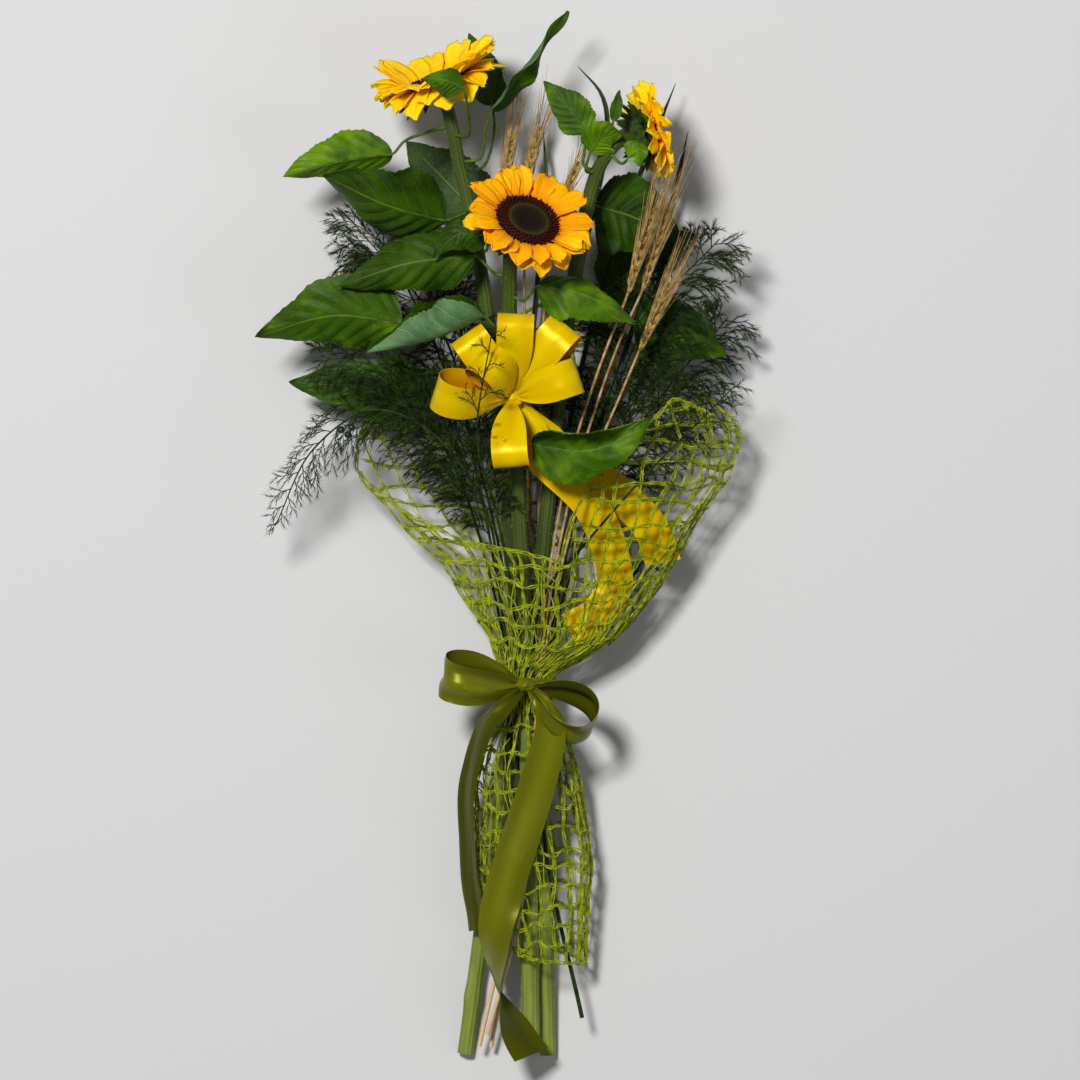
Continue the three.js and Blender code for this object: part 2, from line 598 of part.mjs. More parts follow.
const OLIVE_KNOT = [-2, 4, 81.6];
const OLIVE_LOOPS = [
  { out: [-0.96, 0.1, 0.24], across: [-0.1, 0.9, 0.45], length: 70, bulge: 17 },
  { out: [0.9, -0.25, 0.12], across: [-0.1, 0.35, 0.9], length: 66, bulge: 20 },
];
const OLIVE_TAILS = [
  { centres: [[-2, 4, 82], [-24, -16, 93], [-38, -36, 86], [-50, -76, 68], [-51, -130, 56], [-47, -176, 46],
    [-43, -206, 42]],
    across: [[0.8, -0.6, 0.2], [0.6, -0.3, 0.7], [0.6, 0.1, 0.7], [0.5, 0, 0.85], [0.4, 0, 0.9],
      [0.6, 0.1, 0.8], [0.6, 0.1, 0.8]] },
  { centres: [[0, 4, 82], [14, -10, 93], [20, -30, 92], [10, -76, 84], [-6, -127, 78], [-22, -180, 70],
    [-28, -216, 64], [-25, -252, 58], [-10, -290, 52], [4, -312, 50]],
    across: [[1, 0, 0], [0.8, 0.2, 0.5], [0.8, 0.2, 0.4], [0.95, 0.1, 0.2], [1, 0.1, 0.1], [1, 0.1, 0.2],
      [0.7, 0.1, 0.7], [0.1, 0, 0.95], [-0.6, -0.2, 0.6], [-0.8, -0.3, 0.5]] },
];

function oliveRibbon() {
  const { inner, outer, low, high } = BAND;
  const profile = [[inner, low], [outer, low], [outer, high], [inner, high], [inner, low]];
  const band = turned(profile, 20).rotateX(-Math.PI / 2).translate(0, 0, TIE_HEIGHT);
  const made = { knot: OLIVE_KNOT, width: OLIVE_RIBBON_WIDTH };
  const loops = OLIVE_LOOPS.map((loop) => ribbonLoop({ ...loop, ...made }));
  const tails = OLIVE_TAILS.map(({ centres, across }) => ribbonStrip(centres, across, OLIVE_RIBBON_WIDTH, 12,
    (u) => between(u, [[0, 0.2], [0.1, 0.6], [0.3, 1]])));
  return filled(fused([solid(band), knotSolid(OLIVE_KNOT, [9, 6, 8.7]), ...loops, ...tails]));
}

place('ribbon_olive', oliveRibbon(), 'oliveRibbon');

function elasticBand() {
  const { inner, outer, low, high } = ELASTIC;
  const profile = [[inner, low], [outer, low], [outer, high], [inner, high], [inner, low]];
  return solid(turned(profile, 18).rotateX(-Math.PI / 2).translate(0, 0, TIE_HEIGHT));
}

place('elastic_inner', elasticBand(), 'elastic');

// The net: a cone above the tie, open in a V at the front, and a skirt below it, in one sheet.

const NET_ROUND = 12;
const NET_HALF_WIDTH = [[-230, 36], [-178, 45], [-150, 51], [-76, 45], [-44, 36],
  [STRAIGHT.low, NET_WAIST_RADIUS], [12, NET_WAIST_RADIUS], [42, 53], [76, 79], [110, 102], [145, 130],
  [178, 157], [212, 168], [260, 160], [330, 140]];
const NET_MIDDLE_X = [[-230, 14], [-178, 9], [-150, 6], [-76, 0], [12, 0], [42, 22], [76, 26], [110, 28],
  [145, 21], [212, 18], [330, 10]];
const NET_HALF_DEPTH = [[-230, 32], [-127, 38], [-44, 30], [STRAIGHT.low, NET_WAIST_RADIUS],
  [12, NET_WAIST_RADIUS], [42, 36], [76, 47], [110, 58], [145, 66], [212, 75], [330, 75]];
const NET_MIDDLE_Z = [[-230, 28], [-127, 37], [-44, 45], [STRAIGHT.low, 50], [42, 50], [110, 56], [145, 62],
  [212, 68], [330, 70]];
// How far the sheet reaches up and down, by the angle round from the front, positive towards the right.
const NET_TOP = [[-180, 330], [-135, 285], [-90, 218], [-45, 150], [0, 104], [45, 140], [90, 214], [135, 285],
  [180, 330]];
const NET_BOTTOM = [[-180, -222], [-141, -150], [-90, -152], [-64, -190], [-39, -226], [0, -232], [90, -236],
  [180, -222]];
const NET_ROWS = [-1, -0.68, -0.34, -0.001, 0.001, 0.18, 0.38, 0.59, 0.8, 1];

function netPoint(share, angle) {
  const turnedBy = angle > 180 ? angle - 360 : angle;
  const below = STRAIGHT.low + (between(turnedBy, NET_BOTTOM) - STRAIGHT.low) * -share;
  const above = 12 + (between(turnedBy, NET_TOP) - 12) * share;
  const y = share < 0 ? below : above;
  const x = between(y, NET_MIDDLE_X) + between(y, NET_HALF_WIDTH) * Math.sin(radians(angle));
  const z = between(y, NET_MIDDLE_Z) + between(y, NET_HALF_DEPTH) * Math.cos(radians(angle));
  return vec(x, y, Math.max(z, NET_THICKNESS / 2));
}

// The lattice: strands run along the grid lines, thick in the middle and sharp at the edges of each hole.
function netSheet() {
  const rows = NET_ROWS.length;
  const grid = NET_ROWS.map((share) =>
    Array.from({ length: NET_ROUND }, (_, j) => netPoint(share, (360 * j) / NET_ROUND)));
  const wrap = (j) => (j + NET_ROUND) % NET_ROUND;
  const positions = [];
  const index = [];
  const add = (point) => positions.push(...point.toArray()) / 3 - 1;
  const ridge = [1, -1].map((side) => grid.map((row, i) => row.map((point, j) => {
    const around = row[wrap(j + 1)].clone().sub(row[wrap(j - 1)]);
    const along = grid[Math.min(i + 1, rows - 1)][j].clone().sub(grid[Math.max(i - 1, 0)][j]);
    const outward = along.cross(around).normalize();
    const flat = point.z < NET_THICKNESS ? vec(0, 0, -1) : outward;
    return add(point.clone().addScaledVector(flat, (side * NET_THICKNESS) / 2));
  })));
  for (let i = 0; i < rows - 1; i += 1) {
    for (let j = 0; j < NET_ROUND; j += 1) {
      const next = wrap(j + 1);
      const corners = [[i, j], [i, next], [i + 1, next], [i + 1, j]];
      const points = corners.map(([a, b]) => grid[a][b]);
      const wide = points[0].distanceTo(points[1]) + points[2].distanceTo(points[3]);
      const high = points[1].distanceTo(points[2]) + points[3].distanceTo(points[0]);
      const inX = Math.min(NET_STRAND_WIDTH / wide, 0.4);
      const inY = Math.min(NET_STRAND_WIDTH / high, 0.4);
      const hole = [[inX, inY], [1 - inX, inY], [1 - inX, 1 - inY], [inX, 1 - inY]].map(([s, t]) => {
        const low = points[0].clone().lerp(points[1], s);
        return add(low.lerp(points[3].clone().lerp(points[2], s), t));
      });
      for (let k = 0; k < 4; k += 1) {
        const [a, b] = [corners[k], corners[(k + 1) % 4]];
        const [h, g] = [hole[k], hole[(k + 1) % 4]];
        const [outA, outB] = [ridge[0][a[0]][a[1]], ridge[0][b[0]][b[1]]];
        const [inA, inB] = [ridge[1][a[0]][a[1]], ridge[1][b[0]][b[1]]];
        index.push(outA, g, outB, outA, h, g, inA, inB, g, inA, g, h);
        const edge = a[0] === b[0] && (a[0] === 0 || a[0] === rows - 1);
        if (edge) index.push(outA, outB, inB, outA, inB, inA);
      }
    }
  }
  const geometry = new THREE.BufferGeometry();
  geometry.setAttribute('position', new THREE.Float32BufferAttribute(positions, 3));
  geometry.setIndex(index);
  return solid(geometry);
}

place('net_wrap', netSheet(), 'net');

// Thin stems: each passes the tie in its own slot of the ring round the sunflower stems, given in degrees
// from the right, and spreads a little below it.

function thinRoute({ slot, above, below, foot }) {
  const [across, up] = [Math.cos(radians(slot)), Math.sin(radians(slot))];
  const at = (y, radius, drop) => [radius * across, y, TIE_HEIGHT - drop + radius * up];
  const spread = [at(STRAIGHT.low - below, THIN_STEM_RING * (1 + 0.004 * below), 0.12 * below)];
  const straight = [at(STRAIGHT.low, THIN_STEM_RING, 0), at(STRAIGHT.high, THIN_STEM_RING, 0)];
  return [...(foot ?? spread), ...straight, ...above];
}

// Thicker towards a long foot, and thin where it passes the tie and above.
function thinStemRadius({ foot }, tip) {
  const low = foot ? [[0, 1.9], [0.2, 1.6], [0.34, THIN_STEM_RADIUS]] : [[0, THIN_STEM_RADIUS]];
  return (share) => between(share, [...low, [0.6, THIN_STEM_RADIUS], [1, tip]]);
}

// Wheat: a straw, an ear of two rows of grain and the awns that reach past it.

const WHEAT = [
  { name: 'wheat_right_front', slot: 61, foot: [[-41, -306, 22], [-18, -200, 45], [-5, -100, 60]],
    above: [[22, 120, 72], [38, 200, 80], [60, 270, 98]],
    ear: [[86, 338, 116], [96, 372, 121], [105, 404, 122]] },
  { name: 'wheat_right_back', slot: 49, foot: [[-31, -307, 16], [-13, -200, 42], [0, -100, 59.5]],
    above: [[27, 120, 67], [46, 200, 72], [76, 290, 90]],
    ear: [[98, 340, 104], [108, 372, 106], [117, 404, 106]] },
  { name: 'wheat_right_low', slot: 37, foot: [[-34, -296, 31], [-8, -200, 47], [6, -105, 58.5]],
    above: [[33, 120, 61], [58, 200, 64], [80, 252, 78]],
    ear: [[96, 290, 88], [108, 316, 90], [119, 342, 88]] },
  { name: 'wheat_middle', slot: 289, below: 90, ear: [[22, 396, 60], [32, 420, 60], [42, 446, 58]],
    above: [[9, 70, 34], [10, 150, 38], [13, 300, 50]] },
  { name: 'wheat_top_left', slot: 256, below: 70, ear: [[-20, 420, 56], [-17, 446, 54], [-13, 472, 52]],
    above: [[-8, 150, 34], [-18, 300, 46]] },
  { name: 'wheat_top_right', slot: 267, below: 60, ear: [[-2, 424, 40], [3, 450, 38], [10, 476, 36]],
    above: [[1, 150, 26], [-2, 300, 34]] },
];

function wheatStalk(wheat) {
  const ear = curveThrough(wheat.ear);
  const straw = curveThrough([...thinRoute(wheat), wheat.ear[0], ear.getPoint(0.1).toArray()]);
  const swell = (share) => between(share, [[0, 0.7], [0.4, 1], [1, 0.5]]);
  const grains = (share) => (Math.round(share * 10) % 2 ? 4.6 : 2.6) * swell(share);
  const pieces = [
    tube(straw, thinStemRadius(wheat, THIN_STEM_RADIUS), 3, stemStations(straw, wheat.foot ? 4 : 1, 6)),
    tube(ear, grains, 4, evenStations(10)),
  ];
  const frames = ear.computeFrenetFrames(6, false);
  for (let k = 1; k < 6; k += 1) {
    const side = frames.normals[k].clone().multiplyScalar(k % 2 ? 1 : -1);
    const aim = frames.tangents[k].clone().addScaledVector(side, 0.16);
    const awn = spike(ear.getPointAt(k / 6).addScaledVector(side, 1.2), aim, 56 - 5 * k, 0.5);
    if (isClear(awn)) pieces.push(awn);
  }
  return fused(pieces);
}

for (const wheat of WHEAT) place(wheat.name, wheatStalk(wheat), 'wheat');

// Grass: long dark blades, three-sided and drawn out to a point.

const GRASS = [
  { name: 'grass_top', slot: 278, below: 80, above: [[5, 70, 26], [22, 200, 30], [46, 360, 54],
    [68, 470, 74], [64, 505, 78], [43, 531, 74]] },
  { name: 'grass_right_high', slot: 300, below: 60, above: [[24, 160, 34], [60, 330, 40], [100, 450, 36],
    [127, 518, 34]] },
  { name: 'grass_right_low', slot: 311, below: 50, above: [[34, 140, 34], [84, 290, 30], [120, 400, 26],
    [138, 478, 26]] },
  { name: 'grass_loop', slot: 25, below: 15, above: [[30, 50, 55], [76, 86, 50], [108, 120, 46],
    [116, 152, 48]] },
  { name: 'grass_middle', slot: 245, below: 50, above: [[-6, 180, 22], [8, 340, 22], [16, 430, 24],
    [14, 476, 24]] },
];

for (const blade of GRASS) {
  const route = curveThrough(thinRoute(blade));
  place(blade.name, tube(route, thinStemRadius(blade, 0.35), 3, stemStations(route, 1, 7)), 'grass');
}

// Fern: a slim stem with side twigs in one flat spray, each set with fine needles. Twigs and needles that
// would cross a neighbour are left off.

const FERNS = [
  { name: 'fern_left_low', slot: 148, below: 60, above: [[-22, 70, 70], [-34, 150, 92], [-78, 216, 108],
    [-130, 238, 104], [-182, 204, 92], [-214, 140, 80]], spread: [0, 0.15, 1], reach: 60, from: 50, seed: 3 },
  { name: 'fern_left_mid', slot: 172, below: 50, above: [[-30, 90, 58], [-62, 190, 74], [-112, 268, 82],
    [-176, 284, 78]], spread: [0.1, 0, 1], reach: 62, from: 50, seed: 5 },
  { name: 'fern_left_high', slot: 160, below: 50, above: [[-25, 90, 62], [-46, 200, 84], [-70, 300, 82],
    [-150, 400, 66]], spread: [0, 0, 1], reach: 58, from: 50, seed: 7 },
  { name: 'fern_right_high', slot: 13, foot: [[47, -281, 38], [15, -128, 54]],
    above: [[30, 100, 50], [64, 220, 54], [106, 320, 64], [164, 384, 66]],
    spread: [0, 0, 1], reach: 56, from: 55, seed: 9 },
  { name: 'fern_right_mid', slot: 1, below: 60, above: [[38, 100, 44], [80, 200, 40], [124, 262, 38],
    [172, 318, 34]], spread: [0, 0, 1], reach: 56, from: 45, seed: 13 },
  { name: 'fern_right_low', slot: 73, below: 6, above: [[14, 80, 90], [50, 125, 106], [100, 182, 106],
    [150, 232, 106], [176, 258, 100]], spread: [0, 0.1, 1], reach: 50, from: 45, seed: 17 },
  { name: 'fern_front', slot: 118, below: 50, above: [[-14, 90, 84], [-26, 150, 106], [-42, 215, 142],
    [-30, 300, 172]], spread: [0, 0, 1], reach: 36, from: 60, seed: 19 },
  { name: 'fern_back', slot: 234, below: 14, above: [[-20, 100, 24], [-50, 220, 14], [-96, 330, 14],
    [-130, 392, 14]], spread: [0, 0, 1], reach: 60, from: 45, seed: 29 },
];
const TWIGS = 8;
const WHORLS = 2;

// A twig with whorls of three needles, each drawn out of one of the twig's faces.
function fernTwig(root, aim, length, random) {
  const across = aim.clone().cross(vec(0.3, 0.2, 1)).normalize();
  const upward = across.clone().cross(aim);
  const ringAt = (share, radius) => [0, 1, 2].map((k) => {
    const angle = (2 * Math.PI * k) / 3;
    return root.clone()
      .addScaledVector(aim, length * share)
      .addScaledVector(across, radius * Math.cos(angle))
      .addScaledVector(upward, radius * Math.sin(angle));
  });
  const rings = [ringAt(0, 0.4)];
  for (let whorl = 0; whorl < WHORLS; whorl += 1) {
    const start = 0.32 + 0.36 * whorl;
    rings.push(ringAt(start, 0.65 - 0.15 * whorl), ringAt(start + 1.6 / length, 0.6 - 0.15 * whorl));
  }
  const points = rings.flat().concat([root.clone().addScaledVector(aim, length)]);
  const tip = points.length - 1;
  const index = [0, 1, 2];
  rings.forEach((ring, i) => {
    for (let k = 0; k < 3; k += 1) {
      const [a, b] = [3 * i + k, 3 * i + ((k + 1) % 3)];
      if (i === rings.length - 1) {
        index.push(a, tip, b);
        continue;
      }
      const out = ring[k].clone().add(ring[(k + 1) % 3]).multiplyScalar(0.5).sub(root);
      out.addScaledVector(aim, -out.dot(aim)).normalize();
      out.addScaledVector(aim, 0.5 + 0.5 * random()).normalize();
      const start = ring[k].clone().add(ring[(k + 1) % 3]).multiplyScalar(0.5);
      const reach = 15 + 6 * random();
      if (i % 2 && isClear(spike(start, out, reach, 0.6))) {
        const end = points.push(start.addScaledVector(out, reach)) - 1;
        index.push(a, a + 3, end, a + 3, b + 3, end, b + 3, b, end, b, a, end);
      } else index.push(a, a + 3, b, b, a + 3, b + 3);
    }
  });
  const geometry = new THREE.BufferGeometry();
  geometry.setAttribute('position', new THREE.Float32BufferAttribute(points.flatMap((p) => p.toArray()), 3));
  geometry.setIndex(index);
  return solid(geometry);
}

function fernSpray(fern) {
  const random = draws(fern.seed);
  const stem = curveThrough(thinRoute(fern));
  const step = (96 - fern.from) / (TWIGS - 1);
  const forks = Array.from({ length: TWIGS }, (_, k) => Math.round(fern.from + step * k));
  const plain = stemStations(stem, fern.foot ? 3 : 1, 9).filter((station) => station < fern.from - 2);
  const pieces = [tube(stem, thinStemRadius(fern, 0.8), 3, [...plain, ...forks, 100])];
  const spread = vec(...fern.spread).normalize();
  forks.forEach((fork, k) => {
    const along = stem.getTangentAt(fork / 100);
    const side = along.clone().cross(spread).normalize().multiplyScalar(k % 2 ? 1 : -1);
    const length = fern.reach * (1.05 - (0.7 * k) / TWIGS) * (0.8 + 0.4 * random());
    const aim = along.clone().addScaledVector(side, 0.9);
    aim.addScaledVector(spread, 0.5 * (random() - 0.5)).normalize();
    const root = stem.getPointAt(fork / 100);
    if (isClear(spike(root, aim, length, 0.9))) pieces.push(fernTwig(root, aim, length, random));
  });
  return fused(pieces);
}

for (const fern of FERNS) place(fern.name, fernSpray(fern), 'fern');

// The part's origin is the middle of the footprint on the table.

const whole = new THREE.Box3().setFromObject(bunch);
const middle = whole.getCenter(vec(0, 0, 0));
bunch.position.set(-middle.x, -middle.y, -whole.min.z);

export default bunch;
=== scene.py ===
"""The looks of a florist's bunch of three sunflowers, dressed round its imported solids.

Forms are measured in millimetres: X and Y from the middle of the tie, with the flowers towards +Y, and Z
from the table. A finished piece is moved into the row frame, in metres, as its last step.
"""

import functools
import logging
import math
import random
from dataclasses import dataclass, field
from enum import Enum
from typing import Callable, Iterable, Protocol, Sequence

import bmesh
import bpy
import numpy as np
from mathutils import Matrix, Vector


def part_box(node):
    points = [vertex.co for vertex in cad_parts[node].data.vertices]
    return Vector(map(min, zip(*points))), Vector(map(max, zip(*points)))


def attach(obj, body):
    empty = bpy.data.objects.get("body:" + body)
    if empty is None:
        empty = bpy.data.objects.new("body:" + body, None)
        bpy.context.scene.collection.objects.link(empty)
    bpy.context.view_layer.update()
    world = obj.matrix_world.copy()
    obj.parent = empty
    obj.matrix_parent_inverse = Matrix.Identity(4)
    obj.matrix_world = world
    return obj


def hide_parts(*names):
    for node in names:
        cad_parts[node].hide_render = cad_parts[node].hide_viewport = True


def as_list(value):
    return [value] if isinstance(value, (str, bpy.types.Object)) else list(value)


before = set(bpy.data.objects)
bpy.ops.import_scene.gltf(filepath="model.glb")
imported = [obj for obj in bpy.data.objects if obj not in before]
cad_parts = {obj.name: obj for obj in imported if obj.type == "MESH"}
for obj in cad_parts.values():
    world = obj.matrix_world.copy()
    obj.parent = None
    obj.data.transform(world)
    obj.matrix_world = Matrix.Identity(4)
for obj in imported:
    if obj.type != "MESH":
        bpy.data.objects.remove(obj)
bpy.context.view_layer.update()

LOG = logging.getLogger("sunflowers")

Point = tuple[float, float, float]
Pair = tuple[float, float]
Table = Sequence[Pair]
Surface = Callable[[float, float], Vector]
Mesh = bmesh.types.BMesh
Piece = bpy.types.Object

BODY = "root"
MM = 0.001
TABLE_TOP = 0.05  # nothing is drawn lower than this above the table
CLOSE = 1e-4  # points nearer than this, in millimetres, are one
TIE_HEIGHT = 50.0
ELASTIC_MIDDLE = Vector((0.0, -14.5, TIE_HEIGHT))
GOLDEN_ANGLE = math.radians(137.508)
CRISP_ANGLE = math.radians(50)  # where two faces meet at more than this, the edge between them looks crisp


def to_row_frame() -> Matrix:
    """Finds how the bunch's own millimetres lie in the row frame, from where the elastic is.

    Returns:
        The matrix that takes the bunch's millimetres to metres in the row frame.
    """
    low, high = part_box("elastic_inner")
    middle = (low + high) / 2
    return Matrix.Translation(middle - ELASTIC_MIDDLE * MM) @ Matrix.Scale(MM, 4)


TO_ROW = to_row_frame()
ROUND_THE_TIE = Matrix.Translation((0, 0, TIE_HEIGHT)) @ Matrix.Rotation(-math.pi / 2, 4, "X")


# Small maths


def between(key: float, table: Table) -> float:
    """Reads a value between the rows of a table.

    Args:
        key: where to read it.
        table: pairs of key and value, in rising order.

    Returns:
        The value at that key.
    """
    keys, values = zip(*table)
    return float(np.interp(key, keys, values))


def smooth(low: float, high: float, value: float) -> float:
    """Rises smoothly from 0 at low to 1 at high.

    Args:
        low: the value at which it starts.
        high: the value at which it is full.
        value: where to read it.

    Returns:
        The share, from 0 to 1.
    """
    share = min(max((value - low) / (high - low), 0.0), 1.0)
    return share * share * (3 - 2 * share)


class Route:
    """A smooth curve through points, drawn evenly between them however far apart they are."""

    SAMPLES = 160
    NEAR = 1e-4

    def __init__(self, points: Sequence[Point | Vector]) -> None:
        """Sets the curve through its points.

        Args:
            points: the points that it passes, two or more.
        """
        given = [Vector(p) for p in points]
        self.knots = [2 * given[0] - given[1], *given, 2 * given[-1] - given[-2]]
        self.spans = len(given) - 1
        self.shares = [i / self.SAMPLES for i in range(self.SAMPLES + 1)]
        line = [self.point(share) for share in self.shares]
        steps = [(b - a).length for a, b in zip(line, line[1:])]
        self.length = sum(steps)
        self.lengths = np.concatenate([[0.0], np.cumsum(steps)]) / self.length

    def point(self, share: float) -> Vector:
        """Gives the point at a share of the curve, with equal shares for each span.

        Args:
            share: from 0 to 1.

        Returns:
            The point.
        """
        place = min(max(share, 0.0), 1.0) * self.spans
        span = min(int(place), self.spans - 1)
        t = place - span
        a, b, c, d = self.knots[span : span + 4]
        before, across, after = (max((q - p).length, CLOSE) ** 0.5 for p, q in ((a, b), (b, c), (c, d)))
        leaving = ((b - a) / before - (c - a) / (before + across) + (c - b) / across) * across
        arriving = ((c - b) / across - (d - b) / (across + after) + (d - c) / after) * across
        squared = 3 * (c - b) - 2 * leaving - arriving
        cubed = 2 * (b - c) + leaving + arriving
        return b + leaving * t + squared * t**2 + cubed * t**3

    def tangent(self, share: float) -> Vector:
        """The direction of the curve at a share of it."""
        ahead, behind = min(share + self.NEAR, 1.0), max(share - self.NEAR, 0.0)
        return (self.point(ahead) - self.point(behind)).normalized()

    def even(self, share: float) -> float:
        """The share of the spans at a share of the length."""
        return float(np.interp(share, self.lengths, self.shares))

    def frames(self, rows: int) -> list[tuple[Vector, Vector, Vector]]:
        """Steps evenly along the curve without turning about it.

        Args:
            rows: how many steps.

        Returns:
            For each station its point and two directions square to the curve.
        """
        stations = []
        side = self.tangent(0.0).orthogonal()
        for i in range(rows + 1):
            share = self.even(i / rows)
            along = self.tangent(share)
            side = (side - along * side.dot(along)).normalized()
            stations.append((self.point(share), side, along.cross(side)))
        return stations


# Mesh making


def new_bmesh() -> Mesh:
    """Starts an empty mesh that carries a UV map and a tint for each point.

    Returns:
        The mesh.
    """
    bm = bmesh.new()
    bm.loops.layers.uv.new("UVMap")
    bm.verts.layers.float.new("tint")
    return bm


def each_once(elements: Iterable[object]) -> list:
    """Each element once, in the order given. A set would give another order in each run."""
    return list(dict.fromkeys(elements))


def faces_round(verts: Sequence[bmesh.types.BMVert]) -> list[bmesh.types.BMFace]:
    """The faces that meet at the given points."""
    return each_once(face for vert in verts for face in vert.link_faces)


def put(name: str, data: bpy.types.ID) -> bpy.types.Object:
    """Makes an object and puts it in the scene.

    Args:
        name: the object's name.
        data: its mesh, curve, lamp or camera.

    Returns:
        The object.
    """
    made = bpy.data.objects.new(name, data)
    bpy.context.scene.collection.objects.link(made)
    return made


def bent_grid(
    bm: Mesh, columns: int, rows: int, place: Surface, tint: float = 0.5, material: int = 0
) -> list[bmesh.types.BMFace]:
    """Adds a flat grid and bends it into a surface. Its UV map runs along first and then across.

    Args:
        bm: the mesh to add to.
        columns: how many faces across.
        rows: how many faces along.
        place: gives the point at a share along, 0 to 1, and a place across, -1 to 1.
        tint: the value that the material varies this surface's colour by, 0 to 1.
        material: the slot of its material.

    Returns:
        The faces that were added.
    """
    verts = bmesh.ops.create_grid(bm, x_segments=rows, y_segments=columns, size=1.0, calc_uvs=True)["verts"]
    layer = bm.verts.layers.float["tint"]
    for vert in verts:
        vert.co = place((vert.co.x + 1) / 2, vert.co.y)
        vert[layer] = tint
    faces = faces_round(verts)
    for face in faces:
        face.material_index = material
        face.smooth = True
    return faces


def tube(
    bm: Mesh,
    route: Route,
    radius_at: Callable[[float, float], float],
    sides: int,
    rows: int,
    material: int = 0,
    end_material: int = 0,
) -> None:
    """Adds a closed tube: a grid rolled round a route, joined along its seam and filled at both ends.

    Args:
        bm: the mesh to add to.
        route: the line through its middle.
        radius_at: gives the radius at a share of the length and an angle round the tube.
        sides: how many faces round.
        rows: how many faces along.
        material: the slot of its skin's material.
        end_material: the slot of the material at its two ends.
    """
    stations = route.frames(rows)

    def place(share: float, around: float) -> Vector:
        """The point of the skin at a share along, and round the tube from -1 to 1.

        Args:
            share: 0 at the first end, 1 at the last.
            around: -1 to 1, once round.

        Returns:
            The point, not below the table.
        """
        point, side, up = stations[round(share * rows)]
        angle = math.pi * around
        reach = point + (side * math.cos(angle) + up * math.sin(angle)) * radius_at(share, angle)
        reach.z = max(reach.z, TABLE_TOP)
        return reach

    faces = bent_grid(bm, sides, rows, place, material=material)
    verts = each_once(vert for face in faces for vert in face.verts)
    bmesh.ops.remove_doubles(bm, verts=verts, dist=CLOSE)
    faces = [face for face in faces if face.is_valid]
    edges = each_once(edge for face in faces for edge in face.edges)
    rims = [edge for edge in edges if edge.is_boundary]
    caps = bmesh.ops.edgeloop_fill(bm, edges=rims, mat_nr=end_material)["faces"]
    bmesh.ops.recalc_face_normals(bm, faces=faces + caps)


def turned(bm: Mesh, profile: Sequence[Pair], steps: int, matrix: Matrix, material: int = 0) -> None:
    """Adds a shape turned about its own Z axis.

    Args:
        bm: the mesh to add to.
        profile: pairs of radius and height. It starts and ends on the axis, or closes on itself.
        steps: how many faces round.
        matrix: where the shape goes.
        material: the slot of its material.
    """
    verts = [bm.verts.new((radius, 0.0, height)) for radius, height in profile]
    edges = [bm.edges.new(pair) for pair in zip(verts, verts[1:])]
    before = set(bm.faces)
    bmesh.ops.spin(
        bm, geom=verts + edges, axis=(0, 0, 1), cent=(0, 0, 0), angle=math.tau, steps=steps, use_merge=True
    )
    faces = [face for face in bm.faces if face not in before]
    made = each_once(vert for face in faces for vert in face.verts)
    bmesh.ops.remove_doubles(bm, verts=made, dist=CLOSE)
    faces = [face for face in faces if face.is_valid]
    made = each_once(vert for face in faces for vert in face.verts)
    bmesh.ops.recalc_face_normals(bm, faces=faces)
    bmesh.ops.transform(bm, matrix=matrix, verts=made)
    for face in faces:
        face.material_index = material
        face.smooth = True


@dataclass
class Strands:
    """Thin four-sided strands, gathered so that many of them become one mesh at once."""

    lines: list[tuple[list[Vector], list[float]]] = field(default_factory=list)

    def add(self, points: Sequence[Vector], start: float, end: float) -> None:
        """Adds a strand, unless it would go below the table.

        Args:
            points: the line through its middle.
            start: its radius at the first point.
            end: its radius at the last point.
        """
        if min(point.z for point in points) < start + TABLE_TOP:
            return
        last = len(points) - 1
        radii = [start + (end - start) * i / last for i in range(last + 1)]
        self.lines.append((list(points), radii))

    def into(self, bm: Mesh, material: int = 0) -> None:
        """Turns the strands to closed tubes and adds them to a mesh.

        Args:
            bm: the mesh to add to.
            material: the slot of their material.
        """
        curve = bpy.data.curves.new("strands", "CURVE")
        curve.dimensions = "3D"
        curve.bevel_depth = 1.0
        curve.bevel_resolution = 0
        curve.use_fill_caps = True
        for points, radii in self.lines:
            spline = curve.splines.new("POLY")
            spline.points.add(len(points) - 1)
            spline.points.foreach_set("co", [value for point in points for value in (*point, 1.0)])
            spline.points.foreach_set("radius", radii)
        holder = put("strands", curve)
        graph = bpy.context.evaluated_depsgraph_get()
        mesh = bpy.data.meshes.new_from_object(holder.evaluated_get(graph))
        mesh.shade_smooth()
        mesh.materials.clear()
        mesh.polygons.foreach_set("material_index", [material] * len(mesh.polygons))
        bm.from_mesh(mesh)
        bpy.data.objects.remove(holder)
        bpy.data.curves.remove(curve)
        bpy.data.meshes.remove(mesh)


